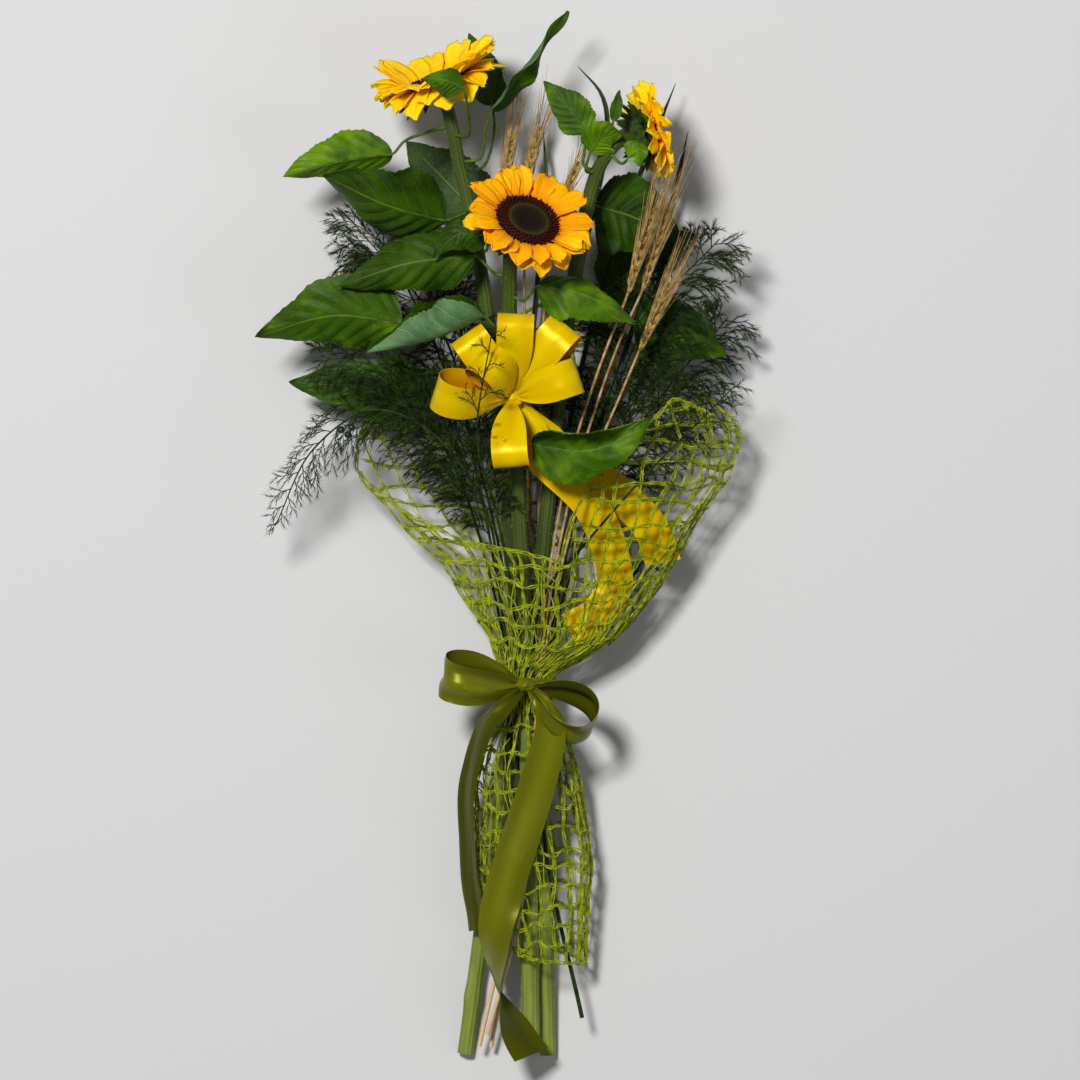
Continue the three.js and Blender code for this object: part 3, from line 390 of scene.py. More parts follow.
@dataclass
class Spikes:
    """Thin three-sided spikes, such as needles and bristles, set down one by one."""

    places: list[Matrix] = field(default_factory=list)

    def add(self, root: Vector, aim: Vector, length: float, radius: float) -> None:
        """Adds a spike, unless it would go below the table.

        Args:
            root: the middle of its foot.
            aim: the way that it points.
            length: its length.
            radius: the radius of its foot.
        """
        if min(root.z, root.z + aim.z * length) < radius + TABLE_TOP:
            return
        turn = Vector((0, 0, 1)).rotation_difference(aim)
        self.places.append(Matrix.LocRotScale(root, turn, Vector((radius, radius, length))))

    def into(self, bm: Mesh, material: int = 0) -> None:
        """Adds the spikes to a mesh.

        Args:
            bm: the mesh to add to.
            material: the slot of their material.
        """
        shape = bmesh.new()
        lift = Matrix.Translation((0, 0, 0.5))
        bmesh.ops.create_cone(shape, cap_ends=True, segments=3, radius1=1, radius2=0, depth=1, matrix=lift)
        for face in shape.faces:
            face.material_index = material
        stamp = bpy.data.meshes.new("spike")
        shape.to_mesh(stamp)
        shape.free()
        rest = np.empty(len(stamp.vertices) * 3, np.float32)
        stamp.vertices.foreach_get("co", rest)
        for place in self.places:
            stamp.vertices.foreach_set("co", rest)
            stamp.transform(place)
            bm.from_mesh(stamp, face_normals=False, vertex_normals=False)
        bpy.data.meshes.remove(stamp)


# Finishes


class Node(str, Enum):
    """The shader nodes that the finishes are drawn with."""

    ATTRIBUTE = "ShaderNodeAttribute"
    BUMP = "ShaderNodeBump"
    COORDINATES = "ShaderNodeTexCoord"
    MAPPING = "ShaderNodeMapping"
    MATHS = "ShaderNodeMath"
    MIX = "ShaderNodeMix"
    NOISE = "ShaderNodeTexNoise"
    RAMP = "ShaderNodeValToRGB"
    SEPARATE = "ShaderNodeSeparateXYZ"
    VORONOI = "ShaderNodeTexVoronoi"


def linear(colour: str) -> tuple[float, float, float, float]:
    """Turns a screen colour to the linear one that a shader takes.

    Args:
        colour: six hex digits after a hash.

    Returns:
        Red, green and blue, with an alpha of 1.
    """
    parts = [int(colour[i : i + 2], 16) / 255 for i in (1, 3, 5)]
    red, green, blue = (p / 12.92 if p <= 0.04045 else ((p + 0.055) / 1.055) ** 2.4 for p in parts)
    return red, green, blue, 1.0


def add_node(
    tree: bpy.types.NodeTree, kind: Node, inputs: dict | None = None, **settings: object
) -> bpy.types.Node:
    """Adds a node with its settings and inputs.

    Args:
        tree: the material's node tree.
        kind: which node.
        inputs: a value or a socket to link, for each input by its name or number.
        **settings: the node's own properties.

    Returns:
        The node.
    """
    node = tree.nodes.new(kind.value)
    for name, value in settings.items():
        setattr(node, name, value)
    for name, value in (inputs or {}).items():
        if isinstance(value, bpy.types.NodeSocket):
            tree.links.new(value, node.inputs[name])
        else:
            node.inputs[name].default_value = value
    return node


@dataclass
class Painter:
    """Draws patterns in one material's node tree and sets them on its shader."""

    tree: bpy.types.NodeTree

    @property
    def shader(self) -> bpy.types.Node:
        """The material's Principled shader."""
        return self.tree.nodes["Principled BSDF"]

    def maths(self, operation: str, first: object, second: object = 0.0, clamp: bool = False) -> object:
        """Works out a value.

        Args:
            operation: the name of the operation.
            first: a socket or a number.
            second: a socket or a number.
            clamp: whether the result is kept from 0 to 1.

        Returns:
            The socket that holds it.
        """
        made = add_node(self.tree, Node.MATHS, {0: first, 1: second}, operation=operation, use_clamp=clamp)
        return made.outputs[0]

    def noise(self, millimetres: float) -> object:
        """A soft random pattern over the surface.

        Args:
            millimetres: the size of its patches.

        Returns:
            The socket that holds its value.
        """
        where = add_node(self.tree, Node.COORDINATES).outputs["Object"]
        inputs = {"Vector": where, "Scale": 1 / (millimetres * MM), "Detail": 3.0}
        return add_node(self.tree, Node.NOISE, inputs).outputs["Fac"]

    def uv_noise(self, along: float, across: float, detail: float = 2.0) -> object:
        """A soft random pattern that follows the piece's own length and width.

        Args:
            along: how many patches in its length.
            across: how many patches in its width.
            detail: how much finer structure it has.

        Returns:
            The socket that holds its value.
        """
        where = add_node(self.tree, Node.COORDINATES).outputs["UV"]
        inputs = {"Vector": where, "Scale": (along, across, 1)}
        scaled = add_node(self.tree, Node.MAPPING, inputs).outputs[0]
        inputs = {"Vector": scaled, "Scale": 1.0, "Detail": detail}
        return add_node(self.tree, Node.NOISE, inputs).outputs["Fac"]

    def uv_parts(self) -> tuple[object, object]:
        """Reads the piece's own UV map.

        Returns:
            The sockets of the share along the piece and the share across it.
        """
        where = add_node(self.tree, Node.COORDINATES).outputs["UV"]
        parts = add_node(self.tree, Node.SEPARATE, {0: where}).outputs
        return parts["X"], parts["Y"]

    def level(self, low: float, high: float) -> object:
        """The share of the way from one level of the bunch to a higher one.

        Args:
            low: the lower level, in millimetres above the tie.
            high: the higher level.

        Returns:
            The socket that holds the share.
        """
        where = add_node(self.tree, Node.COORDINATES).outputs["Object"]
        height = add_node(self.tree, Node.SEPARATE, {0: where}).outputs["Y"]
        start = (TO_ROW @ Vector((0, low, 0))).y
        return self.maths("DIVIDE", self.maths("SUBTRACT", height, start), (high - low) * MM, clamp=True)

    def tint(self) -> object:
        """The value from 0 to 1 that each petal, leaf or strand was given."""
        return add_node(self.tree, Node.ATTRIBUTE, attribute_name="tint").outputs["Fac"]

    def ramp(self, value: object, stops: Sequence[tuple[float, str]]) -> object:
        """A colour that changes with a value.

        Args:
            value: the socket to read.
            stops: pairs of value and colour, in rising order.

        Returns:
            The socket that holds the colour.
        """
        node = add_node(self.tree, Node.RAMP, {0: value})
        points = node.color_ramp.elements
        while len(points) < len(stops):
            points.new(1.0)
        for point, (place, colour) in zip(points, stops):
            point.position = place
            point.color = linear(colour)
        return node.outputs["Color"]

    def mix(self, share: object, first: object, second: object, blend: str = "MIX") -> object:
        """Blends two colours.

        Args:
            share: how much of the second, a socket or a number.
            first: a socket or a linear colour.
            second: a socket or a linear colour.
            blend: the way that they blend.

        Returns:
            The socket that holds the colour.
        """
        inputs = {0: share, 6: first, 7: second}
        return add_node(self.tree, Node.MIX, inputs, data_type="RGBA", blend_type=blend).outputs[2]

    def bump(self, height: object, depth_mm: float) -> object:
        """Raises a pattern from the surface.

        Args:
            height: the pattern, from 0 to 1.
            depth_mm: how high it stands where it is 1.

        Returns:
            The socket that holds the normal.
        """
        inputs = {"Height": height, "Distance": depth_mm * MM, "Strength": 1.0}
        return add_node(self.tree, Node.BUMP, inputs).outputs[0]

    def set(self, **values: object) -> None:
        """Sets or links the shader's inputs.

        Args:
            **values: a value or a socket for each input, named with _ in place of a space.
        """
        for name, value in values.items():
            socket = self.shader.inputs[name.replace("_", " ")]
            if isinstance(value, bpy.types.NodeSocket):
                self.tree.links.new(value, socket)
            else:
                socket.default_value = value


class Finish(Protocol):
    """A surface finish: what it is called and how it is painted."""

    name: str

    def paint(self, painter: Painter) -> None:
        """Draws the finish.

        Args:
            painter: the painter of its material.
        """


@functools.cache
def material_of(finish: Finish) -> bpy.types.Material:
    """Makes a finish's material once and keeps it.

    Args:
        finish: the finish.

    Returns:
        Its material.
    """
    material = bpy.data.materials.new(finish.name)
    material.use_nodes = True
    finish.paint(Painter(material.node_tree))
    return material


@dataclass(frozen=True)
class StemSkin:
    """Fresh sunflower stem, grown: matt, green, finely ribbed, pale at its foot, with painted shade that
    darkens it towards the bloom and in its grooves.
    """

    name: str = "stem_skin_grown"
    dark: str = "#56691A"
    light: str = "#9DAA4E"
    # the colours that it turns to above the tie, which are painted shade
    painted_shade_dark: str = "#1E2C08"
    painted_shade_light: str = "#48591A"
    ribs: int = 13
    rib_mm: float = 0.35

    def paint(self, painter: Painter) -> None:
        """Draws the finish.

        Args:
            painter: the painter of its material.
        """
        _, around = painter.uv_parts()
        patches = painter.maths("MULTIPLY", painter.uv_noise(14, 3), 0.7)
        streaks = painter.maths("MULTIPLY", painter.uv_noise(3, self.ribs * 2), 0.5)
        blend = painter.maths("ADD", patches, streaks)
        low = painter.ramp(blend, [(0.35, self.dark), (0.85, self.light)])
        high = painter.ramp(blend, [(0.35, self.painted_shade_dark), (0.85, self.painted_shade_light)])
        # painted shade: from below the tie up towards the bloom the colour turns to the darker painted-shade
        # pair
        body = painter.mix(painter.level(-160, 120), low, high)
        rib = painter.maths("SINE", painter.maths("MULTIPLY", around, math.tau * self.ribs))
        height = painter.maths("ADD", painter.maths("MULTIPLY", rib, 0.5), 0.5)
        # painted shade in the grooves: the low side of each rib is mixed towards the dark colour
        groove_painted_shade = painter.mix(painter.maths("MULTIPLY", height, 0.3), linear(self.dark), body, "LIGHTEN")
        painter.set(
            Base_Color=painter.mix(0.8, groove_painted_shade, body),
            Roughness=0.55,
            IOR=1.45,
            Specular_IOR_Level=0.35,
            Normal=painter.bump(height, self.rib_mm),
        )


@dataclass(frozen=True)
class PlainGrown:
    """A grown surface in two near colours that change in small patches, such as pith, straw or needles."""

    name: str
    dark: str
    light: str
    patch_mm: float = 4.0
    roughness: float = 0.6
    grain_mm: float = 0.1
    gloss: float = 0.35
    foot: str = ""

    def paint(self, painter: Painter) -> None:
        """Draws the finish, which turns to the colour of its foot below the tie where it has one.

        Args:
            painter: the painter of its material.
        """
        patches = painter.noise(self.patch_mm)
        grain = painter.noise(self.patch_mm / 5)
        body = painter.ramp(patches, [(0.36, self.dark), (0.64, self.light)])
        if self.foot:
            low = painter.mix(0.3, linear(self.foot), body)
            body = painter.mix(painter.level(-140, -60), low, body)
        painter.set(
            Base_Color=body,
            Roughness=self.roughness,
            IOR=1.45,
            Normal=painter.bump(grain, self.grain_mm),
            Specular_IOR_Level=self.gloss,
        )


@dataclass(frozen=True)
class PetalSkin:
    """Sunflower ray petal, grown: silky, creased lengthwise, golden at its tip, darker orange at its root,
    partly its own colour and partly painted shade near the disc, with painted shade along its creases.
    """

    name: str
    root: str
    body: str
    tip: str
    # its darker orange, used both as painted shade in the creases and as each petal's own tone
    crease_shade_and_tone: str
    crease_mm: float = 0.5

    def paint(self, painter: Painter) -> None:
        """Draws the finish.

        Args:
            painter: the painter of its material.
        """
        along, _ = painter.uv_parts()
        creases = painter.uv_noise(0.8, 9, 2.5)
        # the root's darker orange is partly the petal's own colour and partly painted shade near the disc
        fade = painter.ramp(along, [(0.0, self.root), (0.3, self.body), (0.75, self.tip), (1.0, self.tip)])
        # painted shade: the low lines of the creases are mixed towards the darker orange
        shade = painter.maths("MULTIPLY", painter.maths("SUBTRACT", 0.62, creases), 3.2, clamp=True)
        with_crease_shade = painter.mix(painter.maths("MULTIPLY", shade, 0.7), fade, linear(self.crease_shade_and_tone))
        each = painter.maths("MULTIPLY", painter.maths("SUBTRACT", painter.tint(), 0.3), 0.8, clamp=True)
        painter.set(
            Base_Color=painter.mix(each, with_crease_shade, linear(self.crease_shade_and_tone)),
            Roughness=0.6,
            IOR=1.4,
            Specular_IOR_Level=0.2,
            Normal=painter.bump(creases, self.crease_mm),
            Subsurface_Weight=0.2,
            Subsurface_Radius=(1.0, 0.7, 0.1),
            Subsurface_Scale=0.0012,
        )


@dataclass(frozen=True)
class FloretHead:
    """Sunflower disc, grown: near black, with an olive ring and a maroon fringe of open florets."""

    name: str = "floret_head_grown"
    middle: str = "#100D0C"
    ring: str = "#3F3716"
    inner_ring: str = "#211A10"
    fringe: str = "#3E0B0A"
    edge: str = "#240605"
    pollen: str = "#6B5A30"

    def paint(self, painter: Painter) -> None:
        """Draws the finish.

        Args:
            painter: the painter of its material.
        """
        stops = [
            (0.0, self.middle),
            (0.36, self.middle),
            (0.52, self.inner_ring),
            (0.63, self.ring),
            (0.71, self.edge),
            (0.85, self.fringe),
            (1.0, self.edge),
        ]
        speckle = painter.noise(0.8)
        body = painter.ramp(painter.tint(), stops)
        dusted = painter.mix(painter.maths("MULTIPLY", speckle, 0.1), body, linear(self.pollen))
        painter.set(
            Base_Color=dusted,
            Roughness=0.7,
            IOR=1.4,
            Specular_IOR_Level=0.12,
            Normal=painter.bump(speckle, 0.1),
        )


LEAF_VEINS = 7  # pairs of side veins
LEAF_VEIN_SLOPE = 0.3  # how far a vein reaches up the leaf on its way to the edge, as a share of the length


@dataclass(frozen=True)
class LeafSkin:
    """Sunflower leaf, grown: rough and slightly waxy, quilted between pale veins that leave the midrib."""

    name: str
    dark: str
    middle: str
    light: str
    vein: str
    vein_share: float
    roughness: float = 0.5
    net_mm: float = 3.5
    patch_mm: float = 22.0
    quilt_mm: float = 0.5

    def paint(self, painter: Painter) -> None:
        """Draws the finish.

        Args:
            painter: the painter of its material.
        """
        along, across = painter.uv_parts()
        off_middle = painter.maths("ABSOLUTE", painter.maths("SUBTRACT", across, 0.5))
        off_middle = painter.maths("MULTIPLY", off_middle, 2.0)
        lean = painter.maths("MULTIPLY", off_middle, LEAF_VEIN_SLOPE)
        phase = painter.maths("MULTIPLY", painter.maths("SUBTRACT", along, lean), LEAF_VEINS)
        wave = painter.maths("ABSOLUTE", painter.maths("SUBTRACT", painter.maths("FRACT", phase), 0.5))
        side_vein = painter.maths("MULTIPLY", painter.maths("SUBTRACT", wave, 0.46), 25.0, clamp=True)
        midrib = painter.maths("MULTIPLY", painter.maths("SUBTRACT", 0.035, off_middle), 50.0, clamp=True)
        where = add_node(painter.tree, Node.COORDINATES).outputs["Object"]
        inputs = {"Vector": where, "Scale": 1 / (self.net_mm * MM)}
        cells = add_node(painter.tree, Node.VORONOI, inputs, feature="DISTANCE_TO_EDGE").outputs["Distance"]
        net = painter.maths("MULTIPLY", painter.maths("SUBTRACT", 0.09, cells), 8.0, clamp=True)
        main = painter.maths("MAXIMUM", side_vein, midrib)
        drawn = painter.maths("MAXIMUM", main, painter.maths("MULTIPLY", net, 0.28))
        # patches of darker and lighter green: partly the leaf's own mottling, partly painted shade and light
        # for the curves of the blade
        patches = painter.maths("MULTIPLY", painter.noise(self.patch_mm), 0.8)
        mottling_and_painted_shade = painter.maths("ADD", patches, painter.maths("MULTIPLY", painter.tint(), 0.5))
        body = painter.ramp(mottling_and_painted_shade, [(0.4, self.dark), (0.75, self.middle), (0.98, self.light)])
        quilt = painter.maths("MULTIPLY", cells, 0.5, clamp=True)
        sunk = painter.maths("SUBTRACT", quilt, painter.maths("MULTIPLY", main, 0.8))
        veined = painter.maths("MULTIPLY", drawn, self.vein_share)
        painter.set(
            Base_Color=painter.mix(veined, body, linear(self.vein)),
            Roughness=self.roughness,
            IOR=1.45,
            Specular_IOR_Level=0.16,
            Normal=painter.bump(sunk, self.quilt_mm),
        )


@dataclass(frozen=True)
class Satin:
    """Satin ribbon, woven of fine polyester yarn: soft highlights across it, long streaks of painted shade
    for its folds, its weave just to be seen.
    """

    name: str
    body: str
    shade: str
    gleam: str
    roughness: float = 0.3
    yarns_along: float = 260.0
    yarns_across: float = 5.0
    yarn_mm: float = 0.05
    gloss: float = 0.5

    def paint(self, painter: Painter) -> None:
        """Draws the finish, with its yarns drawn several times coarser than life so that they show.

        Args:
            painter: the painter of its material.
        """
        yarn = painter.uv_noise(self.yarns_along, self.yarns_across, 1.0)
        # painted shade: long soft streaks towards the shade colour stand for the ribbon's folds
        painted_fold_shade = painter.uv_noise(2.0, 1.6, 0.5)
        body = painter.ramp(painted_fold_shade, [(0.35, self.shade), (0.6, self.body)])
        painter.set(
            Base_Color=painter.mix(painter.maths("MULTIPLY", yarn, 0.15), body, linear(self.shade)),
            Roughness=self.roughness,
            IOR=1.5,
            Specular_IOR_Level=self.gloss,
            Specular_Tint=linear(self.gleam),
            Anisotropic=0.4,
            Normal=painter.bump(yarn, self.yarn_mm),
        )


@dataclass(frozen=True)
class Moulded:
    """A smooth even surface, such as extruded rubber or the skin of a berry."""

    name: str
    colour: str
    roughness: float
    haze: str = "#6A7A7A"
    patch_mm: float = 2.0

    def paint(self, painter: Painter) -> None:
        """Draws the finish.

        Args:
            painter: the painter of its material.
        """
        haze = painter.noise(self.patch_mm)
        body = painter.mix(painter.maths("MULTIPLY", haze, 0.25), linear(self.colour), linear(self.haze))
        painter.set(Base_Color=body, Roughness=self.roughness, IOR=1.5, Normal=painter.bump(haze, 0.02))


STEM_SKIN = StemSkin()
PITH = PlainGrown("pith_cut", dark="#B9C48A", light="#DDE2BC", patch_mm=1.5)
STEM_HAIR = PlainGrown("stem_hair_grown", dark="#9FB070", light="#C9D3A2", patch_mm=2)
BRACT_SKIN = PlainGrown("bract_skin_grown", dark="#1C2C08", light="#3E5614", patch_mm=5)
PETAL_GOLD = PetalSkin("petal_gold_grown", root="#C86400", body="#FFB400", tip="#FFCA00", crease_shade_and_tone="#F29200")
PETAL_LEMON = PetalSkin("petal_lemon_grown", root="#F2A800", body="#FFD400", tip="#FFE21A", crease_shade_and_tone="#FDBA00")
FLORET_HEAD = FloretHead()
LEAF_TOP = LeafSkin(
    name="leaf_top_grown", dark="#162C00", middle="#335600", light="#628A06", vein="#7C9A34", vein_share=0.4
)
LEAF_UNDER = LeafSkin(
    name="leaf_underside_grown", dark="#3C6338", middle="#5C8154", light="#86A678", vein="#A9C094",
    vein_share=0.6, roughness=0.6,
)
LEAF_VEIN = PlainGrown("leaf_vein_grown", dark="#304A0E", light="#527022", patch_mm=6)
FERN_NEEDLE = PlainGrown("fern_needle_grown", dark="#121A08", light="#2C4014", patch_mm=9, gloss=0.12)
FERN_BERRY = Moulded("fern_berry_skin", "#101014", 0.25)
STRAW = PlainGrown(
    "wheat_straw_dried", dark="#8E6B38", light="#C6A86E", patch_mm=7, roughness=0.5, foot="#EBCDA8"
)
GRAIN = PlainGrown(
    "wheat_grain_dried", dark="#7E612C", light="#B8985A", patch_mm=3, roughness=0.65, grain_mm=0.3
)
GRASS_BLADE = PlainGrown("grass_blade_grown", dark="#141F0A", light="#2A3A16", patch_mm=18, roughness=0.4)
NET_FIBRE = PlainGrown(
    "sisal_fibre_dyed", dark="#6C7A08", light="#AEBA18", patch_mm=6, roughness=0.65, grain_mm=0.3
)
YELLOW_FACE = Satin(
    "satin_yellow_face", body="#DCBE00", shade="#D0AA00", gleam="#FFE850", roughness=0.3, gloss=0.45
)
# painted shade: the back of the yellow ribbon is a more orange copy of its face, for the warm shade and
# bounced light inside the loops
YELLOW_BACK_SHADED = Satin(
    "satin_yellow_back_painted_shade", body="#DCA600", shade="#CC8200", gleam="#FFC840", roughness=0.4, gloss=0.3
)
OLIVE_FACE = Satin(
    "satin_olive_face", body="#6B6E10", shade="#585C0A", gleam="#DCE070", roughness=0.32, gloss=0.5
)
# painted shade: the back of the olive ribbon is a darker copy of its face
OLIVE_BACK_SHADED = Satin(
    "satin_olive_back_painted_shade", body="#4A4D08", shade="#3C4006", gleam="#A8AC50", roughness=0.42, gloss=0.3
)
ELASTIC_RUBBER = Moulded("rubber_teal_extruded", "#0E4A50", 0.4)


class Slot(str, Enum):
    """The record's material slots."""

    STEM = "stem"
    PETAL = "petal"
    DISC = "disc"
    LEAF = "leaf"
    FERN = "fern"
    WHEAT = "wheat"
    GRASS = "grass"
    NET = "net"
    RIBBON_YELLOW = "ribbon_yellow"
    RIBBON_OLIVE = "ribbon_olive"
    ELASTIC = "elastic"


def finished(
    name: str,
    bm: Mesh,
    finishes: Sequence[Finish],
    node: str,
    slot: Slot,
    thickness: float = 0.0,
) -> Piece:
    """Makes a mesh a piece of the bunch that stands for its plain solid.

    Args:
        name: the piece's name.
        bm: its mesh in millimetres, which is freed.
        finishes: its materials, in the order of their slots.
        node: the solid that it replaces.
        slot: the record's material slot; not used.
        thickness: how thick an open sheet is made, or 0 for a closed form.

    Returns:
        The piece.
    """
    mesh = bpy.data.meshes.new(name)
    bm.to_mesh(mesh)
    bm.free()
    mesh.transform(TO_ROW)
    mesh.set_sharp_from_angle(angle=CRISP_ANGLE)
    for finish in finishes:
        mesh.materials.append(material_of(finish))
    piece = put(name, mesh)
    if thickness:
        wall = piece.modifiers.new("wall", "SOLIDIFY")
        wall.thickness = thickness * MM
        wall.offset = 0.0
    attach(piece, BODY)
    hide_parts(node)
    LOG.info("%s: %d faces", name, len(mesh.polygons))
    return piece


def thickened(bm: Mesh, name: str, thickness: float, back_offset: int) -> Mesh:
    """Gives an open sheet its thickness at once, so that closed forms can be added to the same mesh.

    Args:
        bm: the open sheet, which is freed.
        name: a name for the object that is used meanwhile.
        thickness: how thick it is made.
        back_offset: how many material slots its underside is after its top.

    Returns:
        A mesh with the closed sheet.
    """
    mesh = bpy.data.meshes.new(name)
    bm.to_mesh(mesh)
    bm.free()
    holder = put(name, mesh)
    for _ in range(back_offset + 1):
        mesh.materials.append(None)
    wall = holder.modifiers.new("wall", "SOLIDIFY")
    wall.thickness = thickness
    wall.offset = 0.0
    wall.material_offset = back_offset
    graph = bpy.context.evaluated_depsgraph_get()
    closed = bpy.data.meshes.new_from_object(holder.evaluated_get(graph))
    made = bmesh.new()
    made.from_mesh(closed)
    bpy.data.objects.remove(holder)
    bpy.data.meshes.remove(mesh)
    bpy.data.meshes.remove(closed)
    return made


# Sunflowers


@dataclass
class Petals:
    """The ray petals of one bloom, in two layers."""

    length: float
    width: float
    lifts: Pair
    bends: Pair
    seed: int
    finish: PetalSkin
    a_layer: int = 12
    sag: float = 0.0
    root: float = 26.6
    height: float = 2.9
    layer_drop: float = 1.7
    thickness: float = 0.5
    rows: int = 14
    columns: int = 8

    def add_petal(self, bm: Mesh, bloom: Matrix, layer: int, turn: float, draw: random.Random) -> None:
        """Adds one petal: it leaves the disc at an angle, arches over and ends bluntly, creased lengthwise.

        Args:
            bm: the mesh to add to.
            bloom: where the bloom is.
            layer: 0 for the upper layer, 1 for the lower.
            turn: its angle round the bloom.
            draw: the seeded draws.
        """
        length = self.length * draw.uniform(0.9, 1.12) - 2 * layer
        width = self.width * draw.uniform(0.88, 1.1)
        around = Matrix.Rotation(turn, 3, "Z")
        near = max(0.0, (bloom.to_3x3() @ (around @ Vector((1, 0, 0)))).normalized().z)
        sag = self.sag * near * (0.5 + 0.5 * layer)
        lift = math.tan(math.radians(self.lifts[layer] - sag + draw.uniform(-8, 8)))
        bend = self.bends[layer] + draw.uniform(-0.12, 0.18)
        twist = math.radians(draw.uniform(-20, 20))
        sway = draw.uniform(-4, 4)
        phase = draw.uniform(0, math.tau)
        cup = draw.uniform(0.8, 4.2)
        notch = draw.uniform(0.02, 0.07)
        height = self.height - self.layer_drop * layer

        def place(share: float, across: float) -> Vector:
            """The petal's point at a share along and a place across.

            Args:
                share: 0 at its root, 1 at its tip.
                across: -1 to 1.

            Returns:
                The point.
            """
            tip = smooth(0.64, 1.0, share)
            half = width / 2 * (0.5 + 0.5 * smooth(0.0, 0.45, share)) * (1 - 0.74 * tip**3.2)
            reach = length * (share - notch * (1 + math.cos(3 * math.pi * across + phase)) * tip)
            lean = twist * share
            crease = 0.7 * math.cos(2.5 * math.pi * across + phase) * math.sin(math.pi * share) ** 0.7
            side = across * half
            rise = height + length * (lift * share - bend * share**2)
            rise += cup * across**2 * (0.3 + 1.1 * math.sin(2.4 * share)) + crease + side * math.sin(lean)
            aside = side * math.cos(lean) + sway * share**2
            return bloom @ (around @ Vector((self.root + reach, aside, rise)))

        bent_grid(bm, self.columns, self.rows, place, tint=draw.random())

    def build(self, name: str, bloom: Matrix) -> Piece:
        """Builds the two layers as one piece.

        Args:
            name: the bloom's name.
            bloom: where the bloom is.

        Returns:
            The piece.
        """
        draw = random.Random(self.seed)
        bm = new_bmesh()
        for layer in (1, 0):
            for k in range(self.a_layer):
                turn = math.tau * (k + layer / 2) / self.a_layer + draw.uniform(-0.06, 0.06)
                self.add_petal(bm, bloom, layer, turn, draw)
        node = f"petals_{name}"
        return finished(f"{node}_rays", bm, [self.finish], node, Slot.PETAL, self.thickness)


@dataclass
class SeedDisc:
    """The disc of one bloom: a low dome of florets in crossing spirals, with open ones round its edge."""

    radius: float = 26.8
    florets: int = 430
    opening: Pair = (17.5, 20.5)
    dome: Sequence[Pair] = (
        (0, 3.6), (5, 4.0), (10, 5.0), (15, 5.8), (20, 5.4), (24.5, 2.4), (25.5, 0.4), (0, 0.4),
    )

    def build(self, name: str, bloom: Matrix) -> Piece:
        """Builds the disc as one piece.

        Args:
            name: the bloom's name.
            bloom: where the bloom is.

        Returns:
            The piece.
        """
        draw = random.Random(name)
        bm = new_bmesh()
        layer = bm.verts.layers.float["tint"]
        turned(bm, self.dome, 40, Matrix.Identity(4))
        for vert in bm.verts:
            vert[layer] = math.hypot(vert.co.x, vert.co.y) / self.radius
        for k in range(self.florets):
            reach = self.radius * math.sqrt((k + 0.5) / self.florets)
            angle = k * GOLDEN_ANGLE
            opened = smooth(*self.opening, reach)
            width = 0.62 + 0.25 * opened + 0.012 * reach
            tall = 1.6 + 2.6 * opened * draw.uniform(0.7, 1.2)
            lean = math.radians(2.2 * reach * opened + 4 * draw.uniform(-1, 1))
            foot = Vector((reach, 0, between(reach, self.dome[:6]) - 0.4))
            matrix = (
                Matrix.Rotation(angle, 4, "Z")
                @ Matrix.Translation(foot)
                @ Matrix.Rotation(lean, 4, "Y")
                @ Matrix.Translation((0, 0, tall / 2))
            )
            verts = bmesh.ops.create_cone(
                bm,
                cap_ends=True,
                segments=6,
                radius1=width * 0.8,
                radius2=width * (0.45 + 0.35 * opened),
                depth=tall,
                matrix=matrix,
            )["verts"]
            for vert in verts:
                vert[layer] = reach / self.radius
        bmesh.ops.transform(bm, matrix=bloom, verts=bm.verts)
        return finished(f"disc_{name}_florets", bm, [FLORET_HEAD], f"disc_{name}", Slot.DISC)


